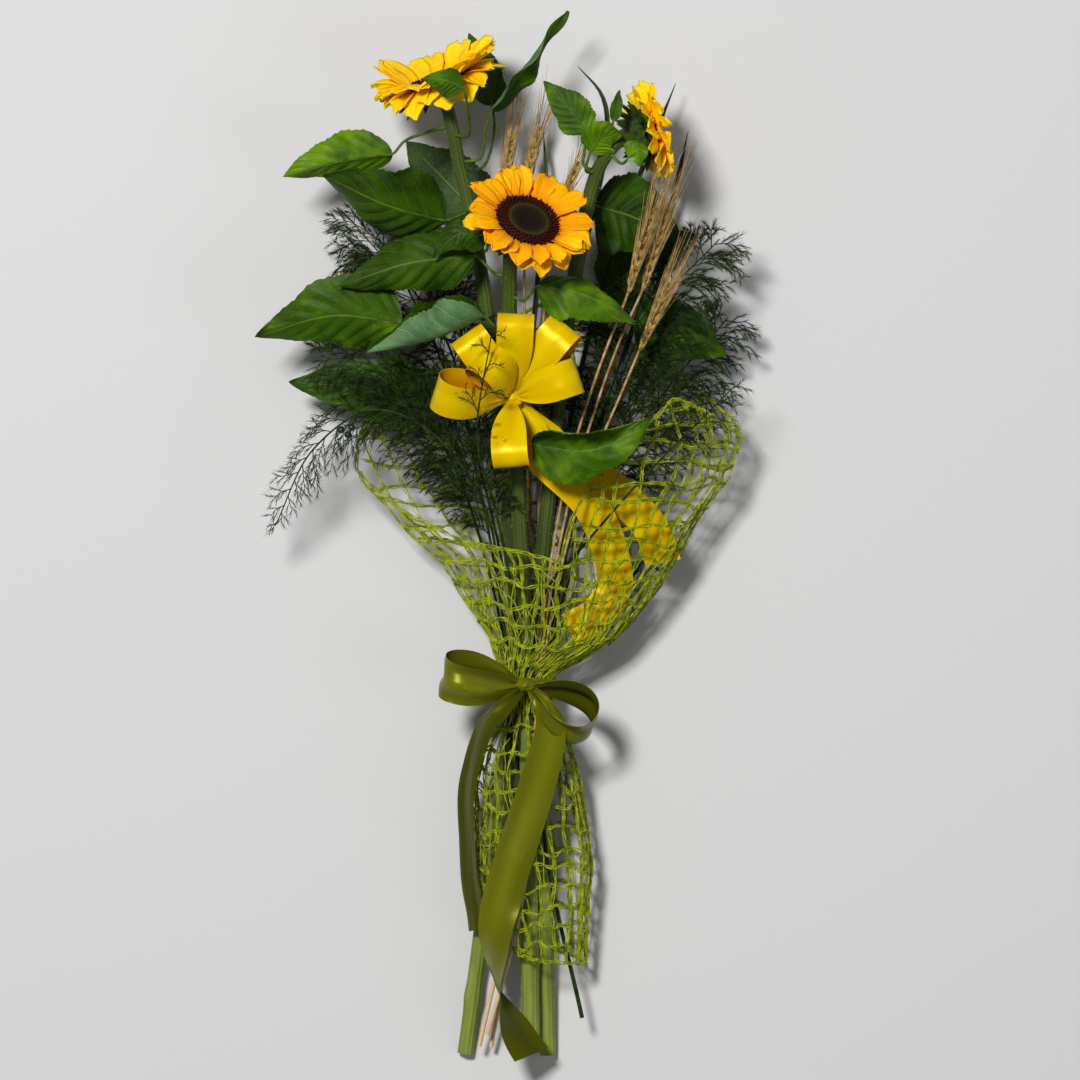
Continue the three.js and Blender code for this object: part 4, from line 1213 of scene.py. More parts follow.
@dataclass
class Sunflower:
    """One cut sunflower: stem, receptacle, bracts, petals and seed disc. Its route runs neck to foot."""

    name: str
    centre: Point
    faces: Point
    route: Sequence[Point]
    radii: Table
    petals: Petals
    size: float = 1.0
    scars: Sequence[float] = ()
    hairs: int = 900
    hair_length: Pair = (1.3, 2.4)
    hair_radius: float = 0.14
    sides: int = 22
    rows: int = 120
    bracts: int = 15
    receptacle: Sequence[Pair] = (
        (0, -16), (8, -14.5), (16, -10.5), (23, -5.5), (27, -1.5), (27, 0), (0, 0),
    )

    @property
    def bloom(self) -> Matrix:
        """Where the bloom is, with Z along the way it faces."""
        turn = Vector((0, 0, 1)).rotation_difference(Vector(self.faces))
        return Matrix.LocRotScale(Vector(self.centre), turn, Vector((self.size,) * 3))

    @property
    def curve(self) -> Route:
        """The line through the stem, from its foot to the bloom."""
        neck = Vector(self.centre) - Vector(self.faces).normalized() * 12
        return Route([*reversed(self.route), neck])

    def radius_at(self, share: float, angle: float = 0.0) -> float:
        """The stem's radius at a share of its length, with ribs, and a ring where each leaf was cut."""
        rings = sum(math.exp(-(((share - scar) / 0.009) ** 2)) for scar in self.scars)
        return between(share, self.radii) + 0.22 * math.cos(6 * angle) + 1.1 * rings

    def add_bract(self, bm: Mesh, turn: float, low: float, length: float, curl: float) -> None:
        """Adds a green bract behind the petals, wide at its root and drawn out to a curled point.

        Args:
            bm: the mesh to add to.
            turn: its angle round the bloom.
            low: how far it sits behind the petals.
            length: its length.
            curl: how far its tip curls back.
        """
        around = Matrix.Rotation(turn, 3, "Z")

        def place(share: float, across: float) -> Vector:
            """The bract's point at a share along and a place across.

            Args:
                share: 0 at its root, 1 at its tip.
                across: -1 to 1.

            Returns:
                The point.
            """
            half = 7.0 * (1 - share) ** 0.75 * (0.85 + 0.6 * share)
            rise = low - 5 * share - curl * share**2.5 + 1.1 * across**2
            return self.bloom @ (around @ Vector((19 + length * share, across * half, rise)))

        bent_grid(bm, 4, 8, place)

    def add_hairs(self, bm: Mesh, curve: Route) -> None:
        """Adds the short bristles that stand out of the stem.

        Args:
            bm: the mesh to add to.
            curve: the line through the stem.
        """
        draw = random.Random(self.name)
        stations = curve.frames(self.rows)
        hairs = Spikes()
        for _ in range(self.hairs):
            share = draw.uniform(0.02, 0.97)
            point, side, up = stations[round(share * self.rows)]
            angle = draw.uniform(0, math.tau)
            out = side * math.cos(angle) + up * math.sin(angle)
            root = point + out * (self.radius_at(share, angle) - 0.2)
            root += side.cross(up) * draw.uniform(-3, 3)
            aim = (out + Vector((0, draw.uniform(-0.4, 0.4), 0))).normalized()
            hairs.add(root, aim, draw.uniform(*self.hair_length), self.hair_radius)
        hairs.into(bm, material=2)

    def build_stem(self) -> Piece:
        """Builds the stem, its receptacle and its bracts as one piece.

        Returns:
            The piece.
        """
        sheet = new_bmesh()
        draw = random.Random(self.name)
        for k in range(self.bracts):
            turn = math.tau * k / self.bracts
            between_two = turn + math.pi / self.bracts
            self.add_bract(sheet, turn, -5.4, draw.uniform(18, 23), draw.uniform(0, 5))
            self.add_bract(sheet, between_two, -7.4, draw.uniform(14, 19), draw.uniform(2, 8))
        bm = thickened(sheet, self.name, 0.7, 0)
        for face in bm.faces:
            face.material_index = 3
        curve = self.curve
        tube(bm, curve, self.radius_at, self.sides, self.rows, material=0, end_material=1)
        turned(bm, self.receptacle, 36, self.bloom, material=3)
        self.add_hairs(bm, curve)
        finishes = [STEM_SKIN, PITH, STEM_HAIR, BRACT_SKIN]
        return finished(f"stem_{self.name}_skin", bm, finishes, f"stem_{self.name}", Slot.STEM)

    def build(self) -> list[Piece]:
        """Builds the whole flower.

        Returns:
            Its stem, petals and disc.
        """
        return [
            self.build_stem(),
            self.petals.build(self.name, self.bloom),
            SeedDisc().build(self.name, self.bloom),
        ]


SUNFLOWERS = {
    "front": Sunflower(
        name="front",
        centre=(0, 394, 168),
        faces=(0.3, 0.64, 0.71),
        route=(
            (-13, 366, 139), (-15, 335, 121), (-12, 248, 97), (-4, 100, 66), (0, 12, 58.3), (0, -20, 58.3),
            (1, -100, 49), (3, -296, 24),
        ),
        radii=((0, 8), (0.36, 7), (0.5, 7), (0.8, 6.6), (1, 6)),
        scars=(0.09,),
        petals=Petals(
            length=29, width=18.5, lifts=(28, 10), bends=(0.28, 0.2), seed=11, finish=PETAL_GOLD, a_layer=16
        ),
    ),
    "left": Sunflower(
        name="left",
        centre=(-74, 515, 98),
        faces=(-0.33, 0.93, 0.12),
        route=(
            (-64, 480, 94), (-59, 453, 89), (-45, 390, 82), (-25, 250, 68), (-12, 100, 54), (-7.2, 12, 45.9),
            (-7.2, -20, 45.9), (-22, -90, 33), (-53, -313, 6.3),
        ),
        radii=((0, 6.8), (0.3, 7), (0.45, 7), (0.8, 6), (1, 5.5)),
        scars=(0.155, 0.06),
        petals=Petals(
            length=30, width=25, lifts=(38, 18), bends=(0.25, 0.3), seed=23, finish=PETAL_LEMON, a_layer=19,
            sag=36,
        ),
    ),
    "right": Sunflower(
        name="right",
        centre=(100, 472, 98),
        faces=(0.88, 0.28, -0.38),
        route=(
            (76, 464, 112), (66, 452, 110), (56, 430, 102), (37, 331, 85), (18, 161, 64), (9, 60, 52),
            (7.2, 12, 45.9), (7.2, -20, 45.9), (10, -60, 40), (18, -314, 6.3),
        ),
        radii=((0, 7), (0.3, 7), (0.45, 7), (0.8, 6.2), (1, 5.5)),
        petals=Petals(
            length=27, width=24, lifts=(40, 20), bends=(0.35, 0.35), seed=37, finish=PETAL_LEMON, a_layer=16,
            sag=52,
        ),
        size=0.8,
    ),
}


# Leaves


@dataclass
class Leaf:
    """One leaf on its stalk: heart-based, pointed, finely toothed, folded and curled along its midrib."""

    name: str
    stem: str
    stalk: Sequence[Point]
    midrib: Sequence[Point]
    up: Point
    width: float
    fold: Pair = (0, 0)
    curl: Pair = (0, 0)
    wave: float = 0.0
    rests: bool = False
    tint: float = 0.5
    frill: float = 0.042
    quilt: float = 0.026
    rows: int = 44
    columns: int = 22
    teeth: int = 17
    thickness: float = 0.55
    start: float = 0.004
    vein_drop: float = 0.55
    rest_height: float = 0.35

    def __post_init__(self) -> None:
        """Draws the midrib's line and the way that the leaf faces. A leaf that rests lies smooth."""
        self.rib = Route(self.midrib)
        self.facing = Vector(self.up).normalized()
        self.turn = random.Random(self.name).uniform(0, math.tau)
        if self.rests:
            self.frill = self.quilt = 0.0

    def surface(self, share: float, across: float, proud: float = 0.0) -> Vector:
        """The leaf's middle surface.

        Args:
            share: the share of its length, from the stalk to the tip.
            across: the place across it, -1 to 1.
            proud: how far from the surface, on the upper side.

        Returns:
            The point.
        """
        along = self.rib.tangent(share)
        side = along.cross(self.facing).normalized()
        face = side.cross(along)
        half = 1 if across > 0 else 0
        off = abs(across)
        outline = math.sin(math.pi * max(share, self.start) ** 0.62) ** 0.85 if share < 1 else 0.0
        tooth = 1 - abs(2 * ((share * self.teeth) % 1) - 1)
        lobe = 0.06 * math.sin(13 * share + self.turn + 2.6 * half)
        lobe += 0.03 * math.sin(29 * share + 2 * self.turn)
        reach = self.width / 2 * outline * off * (1 + off**3 * lobe + 0.07 * off**6 * (tooth - 0.5))
        angle = math.radians(self.fold[half] + self.curl[half] * off)
        ripple = self.wave * off**2 * math.sin(4 * math.pi * share + 2 * half)
        ripple += self.frill * self.width * off**2 * math.sin(17 * share + 3 * self.turn + 1.7 * half)
        phase = (share - LEAF_VEIN_SLOPE * off) * LEAF_VEINS
        quilt = self.quilt * self.width * math.sin(math.pi * off) * math.cos(math.tau * phase) * outline
        point = self.rib.point(share) + side * (math.copysign(reach, across) * math.cos(angle))
        point += face * (reach * math.sin(angle) + ripple - quilt + proud)
        point.z = max(point.z, TABLE_TOP + self.rest_height) if self.rests else point.z
        return point

    def root(self) -> Vector:
        """Finds where the stalk grows.

        Returns:
            The point just under the stem's skin.
        """
        flower = SUNFLOWERS[self.stem]
        towards = Vector(self.stalk[0])
        curve = flower.curve
        shares = [i / 200 for i in range(201)]
        share = min(shares, key=lambda s: (curve.point(curve.even(s)) - towards).length)
        centre = curve.point(curve.even(share))
        return centre + (towards - centre).normalized() * (flower.radius_at(share) - 1)

    def add_veins(self, bm: Mesh) -> None:
        """Adds the midrib and the side veins, which stand out on the underside.

        Args:
            bm: the mesh to add to.
        """
        veins = Strands()
        below = -self.vein_drop
        spine = [self.surface(i / 24, 0.0, below) for i in range(1, 24)]
        veins.add(spine, 1.25, 0.3)
        for k in range(LEAF_VEINS):
            start = max(k, 0.35) / LEAF_VEINS
            for side in (-1, 1):
                shares = [(start + LEAF_VEIN_SLOPE * j / 10, side * j / 10) for j in range(10)]
                line = [self.surface(u, v, below + 0.15) for u, v in shares if u < 0.94]
                if len(line) > 3:
                    veins.add(line, 0.55, 0.15)
        veins.into(bm, material=2)

    def build(self) -> Piece:
        """Builds the blade, its veins and its stalk as one piece.

        Returns:
            The piece.
        """
        sheet = new_bmesh()

        def place(share: float, across: float) -> Vector:
            """The blade's point, with its upper side the way it faces."""
            return self.surface(self.start + (1 - self.start) * share, -across)

        bent_grid(sheet, self.columns, self.rows, place, self.tint)
        bm = thickened(sheet, self.name, self.thickness, 1)
        self.add_veins(bm)
        route = Route([self.root(), *self.stalk, self.midrib[0], self.surface(0.07, 0.0, -0.4)])
        tube(bm, route, lambda share, _: 1.5 - 0.4 * share, 8, 18, material=2, end_material=2)
        return finished(f"{self.name}_blade", bm, [LEAF_TOP, LEAF_UNDER, LEAF_VEIN], self.name, Slot.LEAF)


LEAVES = (
    Leaf(
        "leaf_left_top", "left", stalk=((-84, 474, 95), (-104, 466, 97)),
        midrib=((-114, 455, 98), (-165, 447, 101), (-207, 436, 96)), up=(0, 0.1, 1),
        width=50, fold=(-65, 12), curl=(0, -12), wave=1.5, tint=0.95,
    ),
    Leaf(
        "leaf_left_big", "left", stalk=((-54, 404, 98),),
        midrib=((-70, 398, 112), (-118, 411, 116), (-173, 437, 112)), up=(0.1, -0.15, 1),
        width=96, fold=(-45, 22), curl=(-10, 16), wave=3, tint=0.45,
    ),
    Leaf(
        "leaf_left_mid", "front", stalk=((-26, 352, 128),),
        midrib=((-44, 368, 130), (-98, 362, 128), (-160, 342, 116)), up=(0, -0.35, 1),
        width=60, fold=(10, -40), curl=(-20, -10), wave=2.5, tint=0.35,
    ),
    Leaf(
        "leaf_left_low", "left", stalk=((-60, 296, 92),),
        midrib=((-106, 312, 100), (-165, 318, 104), (-230, 300, 90)), up=(0, 0, 1),
        width=70, fold=(-25, 12), curl=(-15, -12), wave=3, tint=0.6,
    ),
    Leaf(
        "leaf_front_left", "front", stalk=((-25, 306, 134),),
        midrib=((-36, 316, 143), (-85, 296, 138), (-136, 285, 148)), up=(-0.1, 0.35, 1),
        width=66, fold=(46, 18), curl=(76, 20), wave=6, tint=0.4,
    ),
    Leaf(
        "leaf_left_back", "left", stalk=((-48, 238, 58),),
        midrib=((-78, 250, 60), (-140, 258, 63), (-203, 262, 56)), up=(0, 0.1, 1),
        width=56, fold=(-8, 8), curl=(-6, -5), wave=2.5, tint=0.45,
    ),
    Leaf(
        "leaf_under_bloom", "front", stalk=((-26, 372, 142),),
        midrib=((-34, 380, 146), (-56, 386, 150), (-80, 366, 140)), up=(0.1, -0.3, 1),
        width=32, fold=(20, -15), curl=(20, -20), wave=2, tint=0.3,
    ),
    Leaf(
        "leaf_right_front", "front", stalk=((-2, 330, 134),),
        midrib=((9, 342, 142), (48, 334, 148), (92, 312, 138)), up=(0, 0.2, 1),
        width=50, fold=(-30, -12), curl=(-15, -10), wave=2, tint=0.8,
    ),
    Leaf(
        "leaf_tail_right", "front", stalk=((-6, 190, 108),),
        midrib=((4, 208, 118), (56, 204, 130), (108, 232, 136)), up=(-0.1, 0.1, 1),
        width=64, fold=(24, 14), curl=(44, 12), wave=6, tint=0.75,
    ),
    Leaf(
        "leaf_right_big", "right", stalk=((52, 402, 84),),
        midrib=((58, 412, 72), (92, 402, 64), (134, 378, 54)), up=(0, 0, 1),
        width=72, fold=(-6, 6), curl=(-8, -6), wave=2, tint=0.2,
    ),
    Leaf(
        "leaf_right_low", "right", stalk=((52, 300, 66),),
        midrib=((92, 312, 56), (130, 304, 54), (170, 286, 46)), up=(0, 0, 1),
        width=60, fold=(-8, 8), curl=(-10, -6), wave=2.5, tint=0.55,
    ),
    Leaf(
        "leaf_right_top", "right", stalk=((48, 446, 96),),
        midrib=((51, 474, 92), (36, 494, 92), (14, 517, 86)), up=(0.1, 0, 1),
        width=34, fold=(-14, 12), wave=1.2, tint=0.75,
    ),
    Leaf(
        "leaf_right_fold", "right", stalk=((50, 440, 116),),
        midrib=((54, 456, 122), (66, 468, 128), (80, 470, 126)), up=(0, -0.2, 1),
        width=34, fold=(12, -22), wave=1.2, tint=0.95,
    ),
    Leaf(
        "leaf_right_small", "right", stalk=((80, 446, 122),),
        midrib=((86, 450, 132), (93, 454, 138), (96, 444, 138)), up=(0.2, 0, 1),
        width=24, fold=(-14, -14), wave=0.6, tint=0.95,
    ),
    Leaf(
        "leaf_right_narrow", "right", stalk=((70, 468, 120),),
        midrib=((73, 482, 126), (76, 496, 128), (78, 508, 126)), up=(0.3, 0, 1),
        width=11, fold=(14, 14), wave=0.4, tint=0.6,
    ),
    Leaf(
        "leaf_top_tall", "left", stalk=((-40, 452, 92), (-36, 474, 94)),
        midrib=((-30, 492, 96), (-4, 524, 102), (34, 577, 98)), up=(0.62, -0.5, 0.45),
        width=38, fold=(18, 12), curl=(10, -10), wave=3, tint=0.6,
    ),
    Leaf(
        "leaf_top_back", "left", stalk=((-36, 448, 52), (-28, 480, 30)),
        midrib=((-30, 500, 24), (-38, 530, 22), (-50, 562, 20)), up=(0, 0, 1),
        width=33, fold=(8, -10), wave=1.5, tint=0.4,
    ),
    Leaf(
        "leaf_left_bloom", "left", stalk=((-50, 470, 118), (-50, 492, 150)),
        midrib=((-54, 508, 164), (-68, 514, 167), (-88, 516, 164)), up=(0, -0.2, 1),
        width=31, fold=(-12, -50), wave=1, tint=0.75,
    ),
    Leaf(
        "leaf_back_left", "left", stalk=((-34, 376, 50), (-36, 392, 22)),
        midrib=((-44, 408, 8), (-70, 436, 0.4), (-104, 470, 0.4)), up=(0, 0, 1),
        width=62, rests=True, tint=0.2,
    ),
    Leaf(
        "leaf_back_right", "right", stalk=((46, 312, 46), (56, 328, 20)),
        midrib=((66, 340, 8), (96, 364, 0.4), (140, 392, 0.4)), up=(0, 0, 1),
        width=64, rests=True, tint=0.2,
    ),
)


# Thin stems that pass the tie in slots of a ring


def thin_route(
    slot: float, above: Sequence[Point], below: float = 60, foot: Sequence[Point] = ()
) -> list[Point]:
    """The line of a thin stem through the tie.

    Args:
        slot: its place in the ring round the sunflower stems, in degrees from the right.
        above: its points above the tie.
        below: how far below the tie it ends, where it has no long foot.
        foot: its points below the tie, from the end up.

    Returns:
        All its points, from the foot up.
    """
    ring, low, high = 16.3, -20, 14
    across, up = math.cos(math.radians(slot)), math.sin(math.radians(slot))
    wide = ring * (1 + 0.004 * below)
    spread = [(wide * across, low - below, TIE_HEIGHT - 0.12 * below + wide * up)]
    straight = [(ring * across, y, TIE_HEIGHT + ring * up) for y in (low, high)]
    return [*(foot or spread), *straight, *above]


def thin_radius(foot: bool, tip: float) -> Callable[[float, float], float]:
    """How thick a thin stem is.

    Args:
        foot: whether it has a long, thicker foot.
        tip: its radius at the tip.

    Returns:
        A function that gives the radius at a share of its length.
    """
    low = [(0, 1.9), (0.2, 1.6), (0.34, 1.2)] if foot else [(0, 1.2)]
    return lambda share, _: between(share, [*low, (0.6, 1.2), (1, tip)])


@dataclass
class Wheat:
    """One bearded wheat ear on its straw."""

    name: str
    slot: float
    above: Sequence[Point]
    ear: Sequence[Point]
    below: float = 60
    foot: Sequence[Point] = ()
    spikelets: int = 13
    grain: Pair = (1.9, 5.6)
    awn: float = 62.0
    awn_radii: Pair = (0.34, 0.1)

    def build(self) -> Piece:
        """Builds the straw, the grains in their rows and the long awns as one piece.

        Returns:
            The piece.
        """
        draw = random.Random(self.name)
        ear = Route(self.ear)
        stem = thin_route(self.slot, self.above, self.below, self.foot)
        straw = Route([*stem, self.ear[0], ear.point(0.1)])
        bm = new_bmesh()
        tube(bm, straw, thin_radius(bool(self.foot), 1.1), 8, 110)
        stations = ear.frames(self.spikelets)
        awns = Strands()
        for k, (point, side, up) in enumerate(stations):
            along = side.cross(up)
            swell = between(k / self.spikelets, ((0, 0.75), (0.35, 1.0), (1, 0.6)))
            for turn in (0, 1, 2):
                angle = math.pi * (k % 2) + (turn - 1) * 1.15 + draw.uniform(-0.15, 0.15)
                out = side * math.cos(angle) + up * math.sin(angle)
                aim = (along + out * 0.3).normalized()
                middle = point + out * 2.4 * swell + along * 2.5
                spin = Vector((0, 0, 1)).rotation_difference(aim).to_matrix().to_4x4()
                radius, reach = (part * swell for part in self.grain)
                size = Matrix.Diagonal((radius, radius, reach, 1))
                where = Matrix.Translation(middle) @ spin @ size
                bmesh.ops.create_uvsphere(bm, u_segments=7, v_segments=6, radius=1, matrix=where)
                self.add_awn(awns, middle + aim * 4, aim, along, draw)
        ear_foot = self.ear[0][1] - 4
        for face in bm.faces:
            face.smooth = True
            in_ear = face.calc_center_median().y > ear_foot
            face.material_index = 1 if in_ear and len(face.verts) <= 4 else 0
        awns.into(bm)
        return finished(f"{self.name}_ear", bm, [STRAW, GRAIN], self.name, Slot.WHEAT)

    def add_awn(self, awns: Strands, root: Vector, aim: Vector, along: Vector, draw: random.Random) -> None:
        """Adds one long bristle that leaves its grain and bends in line with the ear.

        Args:
            awns: the ear's bristles.
            root: where it starts.
            aim: the way that its grain points.
            along: the way that the ear points.
            draw: the seeded draws.
        """
        length = self.awn * draw.uniform(0.7, 1.05)
        lean = (aim * 0.75 + along).normalized()
        sway = Vector((draw.uniform(-1, 1), draw.uniform(-1, 1), draw.uniform(-1, 1))) * 3.5
        points = [root + lean * length * s + sway * s * s for s in (0, 0.2, 0.4, 0.6, 0.8, 1)]
        awns.add(points, *self.awn_radii)


WHEAT = (
    Wheat(
        "wheat_right_front", slot=61, above=((22, 120, 72), (38, 200, 80), (60, 270, 98)),
        ear=((86, 338, 116), (96, 372, 121), (105, 404, 122)),
        foot=((-41, -306, 22), (-18, -200, 45), (-5, -100, 60)),
    ),
    Wheat(
        "wheat_right_back", slot=49, above=((27, 120, 67), (46, 200, 72), (76, 290, 90)),
        ear=((98, 340, 104), (108, 372, 106), (117, 404, 106)),
        foot=((-31, -307, 16), (-13, -200, 42), (0, -100, 59.5)),
    ),
    Wheat(
        "wheat_right_low", slot=37, above=((33, 120, 61), (58, 200, 64), (80, 252, 78)),
        ear=((96, 290, 88), (108, 316, 90), (119, 342, 88)),
        foot=((-34, -296, 31), (-8, -200, 47), (6, -105, 58.5)),
    ),
    Wheat(
        "wheat_middle", slot=289, above=((9, 70, 34), (10, 150, 38), (13, 300, 50)),
        ear=((22, 396, 60), (32, 420, 60), (42, 446, 58)), below=90, awn=34,
    ),
    Wheat(
        "wheat_top_left", slot=256, above=((-8, 150, 34), (-18, 300, 46)),
        ear=((-20, 420, 56), (-17, 446, 54), (-13, 472, 52)), below=70, awn=48,
    ),
    Wheat(
        "wheat_top_right", slot=267, above=((1, 150, 26), (-2, 300, 34)),
        ear=((-2, 424, 40), (3, 450, 38), (10, 476, 36)), below=60, awn=48,
    ),
)


@dataclass
class Grass:
    """One long dark blade, folded along its middle and drawn out to a point."""

    name: str
    slot: float
    above: Sequence[Point]
    below: float
    width: float = 4.2
    rows: int = 90

    def build(self) -> Piece:
        """Builds the blade as one piece.

        Returns:
            The piece.
        """
        route = Route(thin_route(self.slot, self.above, self.below))
        widths = ((0, 0.6), (0.12, 0.7), (0.4, 1.0), (0.75, 1.05), (0.93, 1.0), (1, 0.08))

        def place(share: float, across: float) -> Vector:
            """The blade's point at a share along and a place across.

            Args:
                share: 0 at its root, 1 at its tip.
                across: -1 to 1.

            Returns:
                The point.
            """
            even = route.even(share)
            along = route.tangent(even)
            side = along.cross(Vector((0.15, 0, 1))).normalized()
            half = self.width / 2 * between(share, widths)
            keel = side.cross(along) * (half * 0.5 * abs(across))
            return route.point(even) + side * (across * half) + keel

        bm = new_bmesh()
        bent_grid(bm, 4, self.rows, place)
        return finished(f"{self.name}_blade", bm, [GRASS_BLADE], self.name, Slot.GRASS, 0.45)


GRASSES = (
    Grass(
        "grass_top", slot=278,
        above=((5, 70, 26), (22, 200, 30), (46, 360, 54), (68, 470, 74), (64, 505, 78), (43, 531, 74)),
        below=80,
    ),
    Grass(
        "grass_right_high", slot=300,
        above=((24, 160, 34), (60, 330, 40), (100, 450, 36), (127, 518, 34)), below=60,
    ),
    Grass(
        "grass_right_low", slot=311, above=((34, 140, 34), (84, 290, 30), (120, 400, 26), (138, 478, 26)),
        below=50,
    ),
    Grass(
        "grass_loop", slot=25, above=((30, 50, 55), (76, 86, 50), (108, 120, 46), (116, 152, 48)),
        below=15, width=4.6,
    ),
    Grass(
        "grass_middle", slot=245, above=((-6, 180, 22), (8, 340, 22), (16, 430, 24), (14, 476, 24)),
        below=50,
    ),
)


@dataclass
class Fern:
    """One spray of asparagus fern: a wiry stem, loosely spread side twigs, and needles on their shoots."""

    name: str
    slot: float
    above: Sequence[Point]
    reach: float
    spread: Point = (0, 0, 1)
    start: float = 0.32
    below: float = 50
    foot: Sequence[Point] = ()
    seed: int = 1
    lift: float = 0.0
    berries: Sequence[Point] = ()
    twigs: int = 30
    shoots: int = 9
    needles: int = 46
    needle_length: Pair = (4, 9)
    needle_radius: Pair = (0.2, 0.32)
    fan: Pair = (0.5, 1.1)
    tip_share: float = 0.38

    def add_needles(self, needles: Spikes, line: Route, length: float, draw: random.Random) -> None:
        """Sets needles along a shoot, leaning well forward.

        Args:
            needles: the spray's needles.
            line: the shoot.
            length: the shoot's length.
            draw: the seeded draws.
        """
        count = round(self.needles * min(length / 20, 1.2))
        for k in range(count):
            share = 0.06 + 0.94 * (k + draw.random()) / count
            along = line.tangent(share)
            out = Vector((draw.gauss(0, 1), draw.gauss(0, 1), draw.gauss(0, 0.8))).normalized()
            aim = (out * draw.uniform(0.35, 0.8) + along).normalized()
            size = draw.uniform(*self.needle_length), draw.uniform(*self.needle_radius)
            needles.add(line.point(share), aim, *size)

    def add_twig(
        self, wires: Strands, needles: Spikes, root: Vector, aim: Vector, length: float, draw: random.Random
    ) -> None:
        """Adds a side twig with its shoots, all bending over towards the foot of the bunch.

        Args:
            wires: the spray's wiry twigs.
            needles: its needles.
            root: where the twig leaves the stem.
            aim: the way that it points.
            length: its length.
            draw: the seeded draws.
        """
        spread = Vector(self.spread).normalized()
        side = aim.cross(spread).normalized()
        droop = Vector((0, draw.uniform(-0.5, -0.05), 0)) + side * draw.uniform(-0.2, 0.2)
        twig = Route([root, root + aim * length * 0.5, root + (aim + droop) * length])
        wires.add([twig.point(i / 7) for i in range(8)], 0.5, 0.16)
        count = max(3, round(self.shoots * min(1.0, length / 32)))
        for k in range(count):
            share = 0.12 + 0.88 * (k + 0.5) / count
            out = side * (1 if k % 2 else -1) + spread * draw.uniform(-0.6, 0.6)
            start = twig.point(share)
            far = (5 + 0.38 * length * (1 - share)) * draw.uniform(0.8, 1.4)
            heading = (out * draw.uniform(0.35, 0.8) + twig.tangent(share)).normalized()
            bent = start + (heading + Vector((0, draw.uniform(-0.35, 0.05), 0))) * far
            shoot = Route([start, start + heading * far * 0.5, bent])
            wires.add([shoot.point(i / 3) for i in range(4)], 0.3, 0.14)
            self.add_needles(needles, shoot, far, draw)

    def build(self) -> Piece:
        """Builds the spray as one piece.

        Returns:
            The piece.
        """
        draw = random.Random(self.seed)
        stem = Route(thin_route(self.slot, self.above, self.below, self.foot))
        spread = Vector(self.spread).normalized()
        wires = Strands()
        needles = Spikes()
        for k in range(self.twigs):
            step = (k + 0.3 * draw.random()) / (self.twigs - 1)
            even = stem.even(min(self.start + (0.99 - self.start) * step, 0.995))
            along = stem.tangent(even)
            side = along.cross(spread).normalized() * (1 if k % 2 else -1)
            swell = between(step, ((0, 0.5), (0.25, 1), (1, self.tip_share)))
            length = self.reach * swell * draw.uniform(0.75, 1.12)
            rise = self.lift * (1 - step) + draw.uniform(-0.35, 0.35)
            aim = (along + side * draw.uniform(*self.fan) + spread * rise).normalized()
            self.add_twig(wires, needles, stem.point(even), aim, length, draw)
        bm = new_bmesh()
        tube(bm, stem, thin_radius(bool(self.foot), 0.5), 6, 90)
        wires.into(bm)
        needles.into(bm)
        for place in self.berries:
            where = Matrix.Translation(place)
            made = bmesh.ops.create_uvsphere(bm, u_segments=14, v_segments=10, radius=3.2, matrix=where)
            for face in faces_round(made["verts"]):
                face.material_index = 1
                face.smooth = True
        return finished(f"{self.name}_spray", bm, [FERN_NEEDLE, FERN_BERRY], self.name, Slot.FERN)


FERNS = (
    Fern(
        "fern_left_low", 148,
        (
            (-22, 70, 70), (-34, 150, 92), (-78, 216, 108), (-130, 238, 104), (-182, 204, 92),
            (-214, 140, 80),
        ),
        58,
        spread=(0, 0.15, 1), below=60, seed=3, berries=((-152, 217, 101), (-158, 221, 98), (-149, 223, 99)),
        tip_share=0.14, start=0.5, twigs=34, needles=26,
    ),
    Fern(
        "fern_left_mid", 172, ((-30, 90, 58), (-62, 190, 74), (-112, 268, 82), (-176, 284, 78)), 62,
        spread=(0.1, 0, 1), start=0.53, seed=5, lift=-0.1, needles=30,
    ),
    Fern(
        "fern_left_high", 160, ((-25, 90, 62), (-46, 200, 84), (-70, 300, 82), (-150, 400, 66)), 68, seed=7,
        start=0.4, lift=0.3, twigs=46, fan=(0.5, 1.7),
    ),
    Fern(
        "fern_right_high", 13, ((30, 100, 50), (64, 220, 54), (106, 320, 64), (164, 384, 66)), 82,
        start=0.63, seed=9, foot=((47, -281, 38), (15, -128, 54)), lift=0.4, twigs=58, fan=(0.5, 2.4),
    ),
    Fern(
        "fern_right_mid", 1, ((38, 100, 44), (80, 200, 40), (124, 262, 38), (172, 318, 34)), 72, below=60,
        start=0.6, seed=13, lift=-0.1, twigs=42, fan=(0.5, 2.0), needles=38,
    ),
    Fern(
        "fern_right_low", 73,
        ((14, 80, 90), (50, 125, 106), (100, 182, 106), (150, 232, 106), (176, 258, 100)), 40,
        spread=(0, 0.1, 1), start=0.66, below=6, seed=17, twigs=12, shoots=5, needles=20,
    ),
    Fern(
        "fern_front", 118, ((-14, 90, 84), (-26, 150, 106), (-42, 215, 142), (-30, 300, 172)), 36,
        start=0.6, seed=19, twigs=12, shoots=5, needles=20,
    ),
    Fern(
        "fern_back", 234, ((-20, 100, 24), (-50, 220, 14), (-96, 330, 14), (-130, 392, 14)), 108,
        start=0.42, below=14, seed=29, lift=0.5, twigs=46, fan=(0.4, 1.7), tip_share=0.5,
    ),
)


# Ribbons


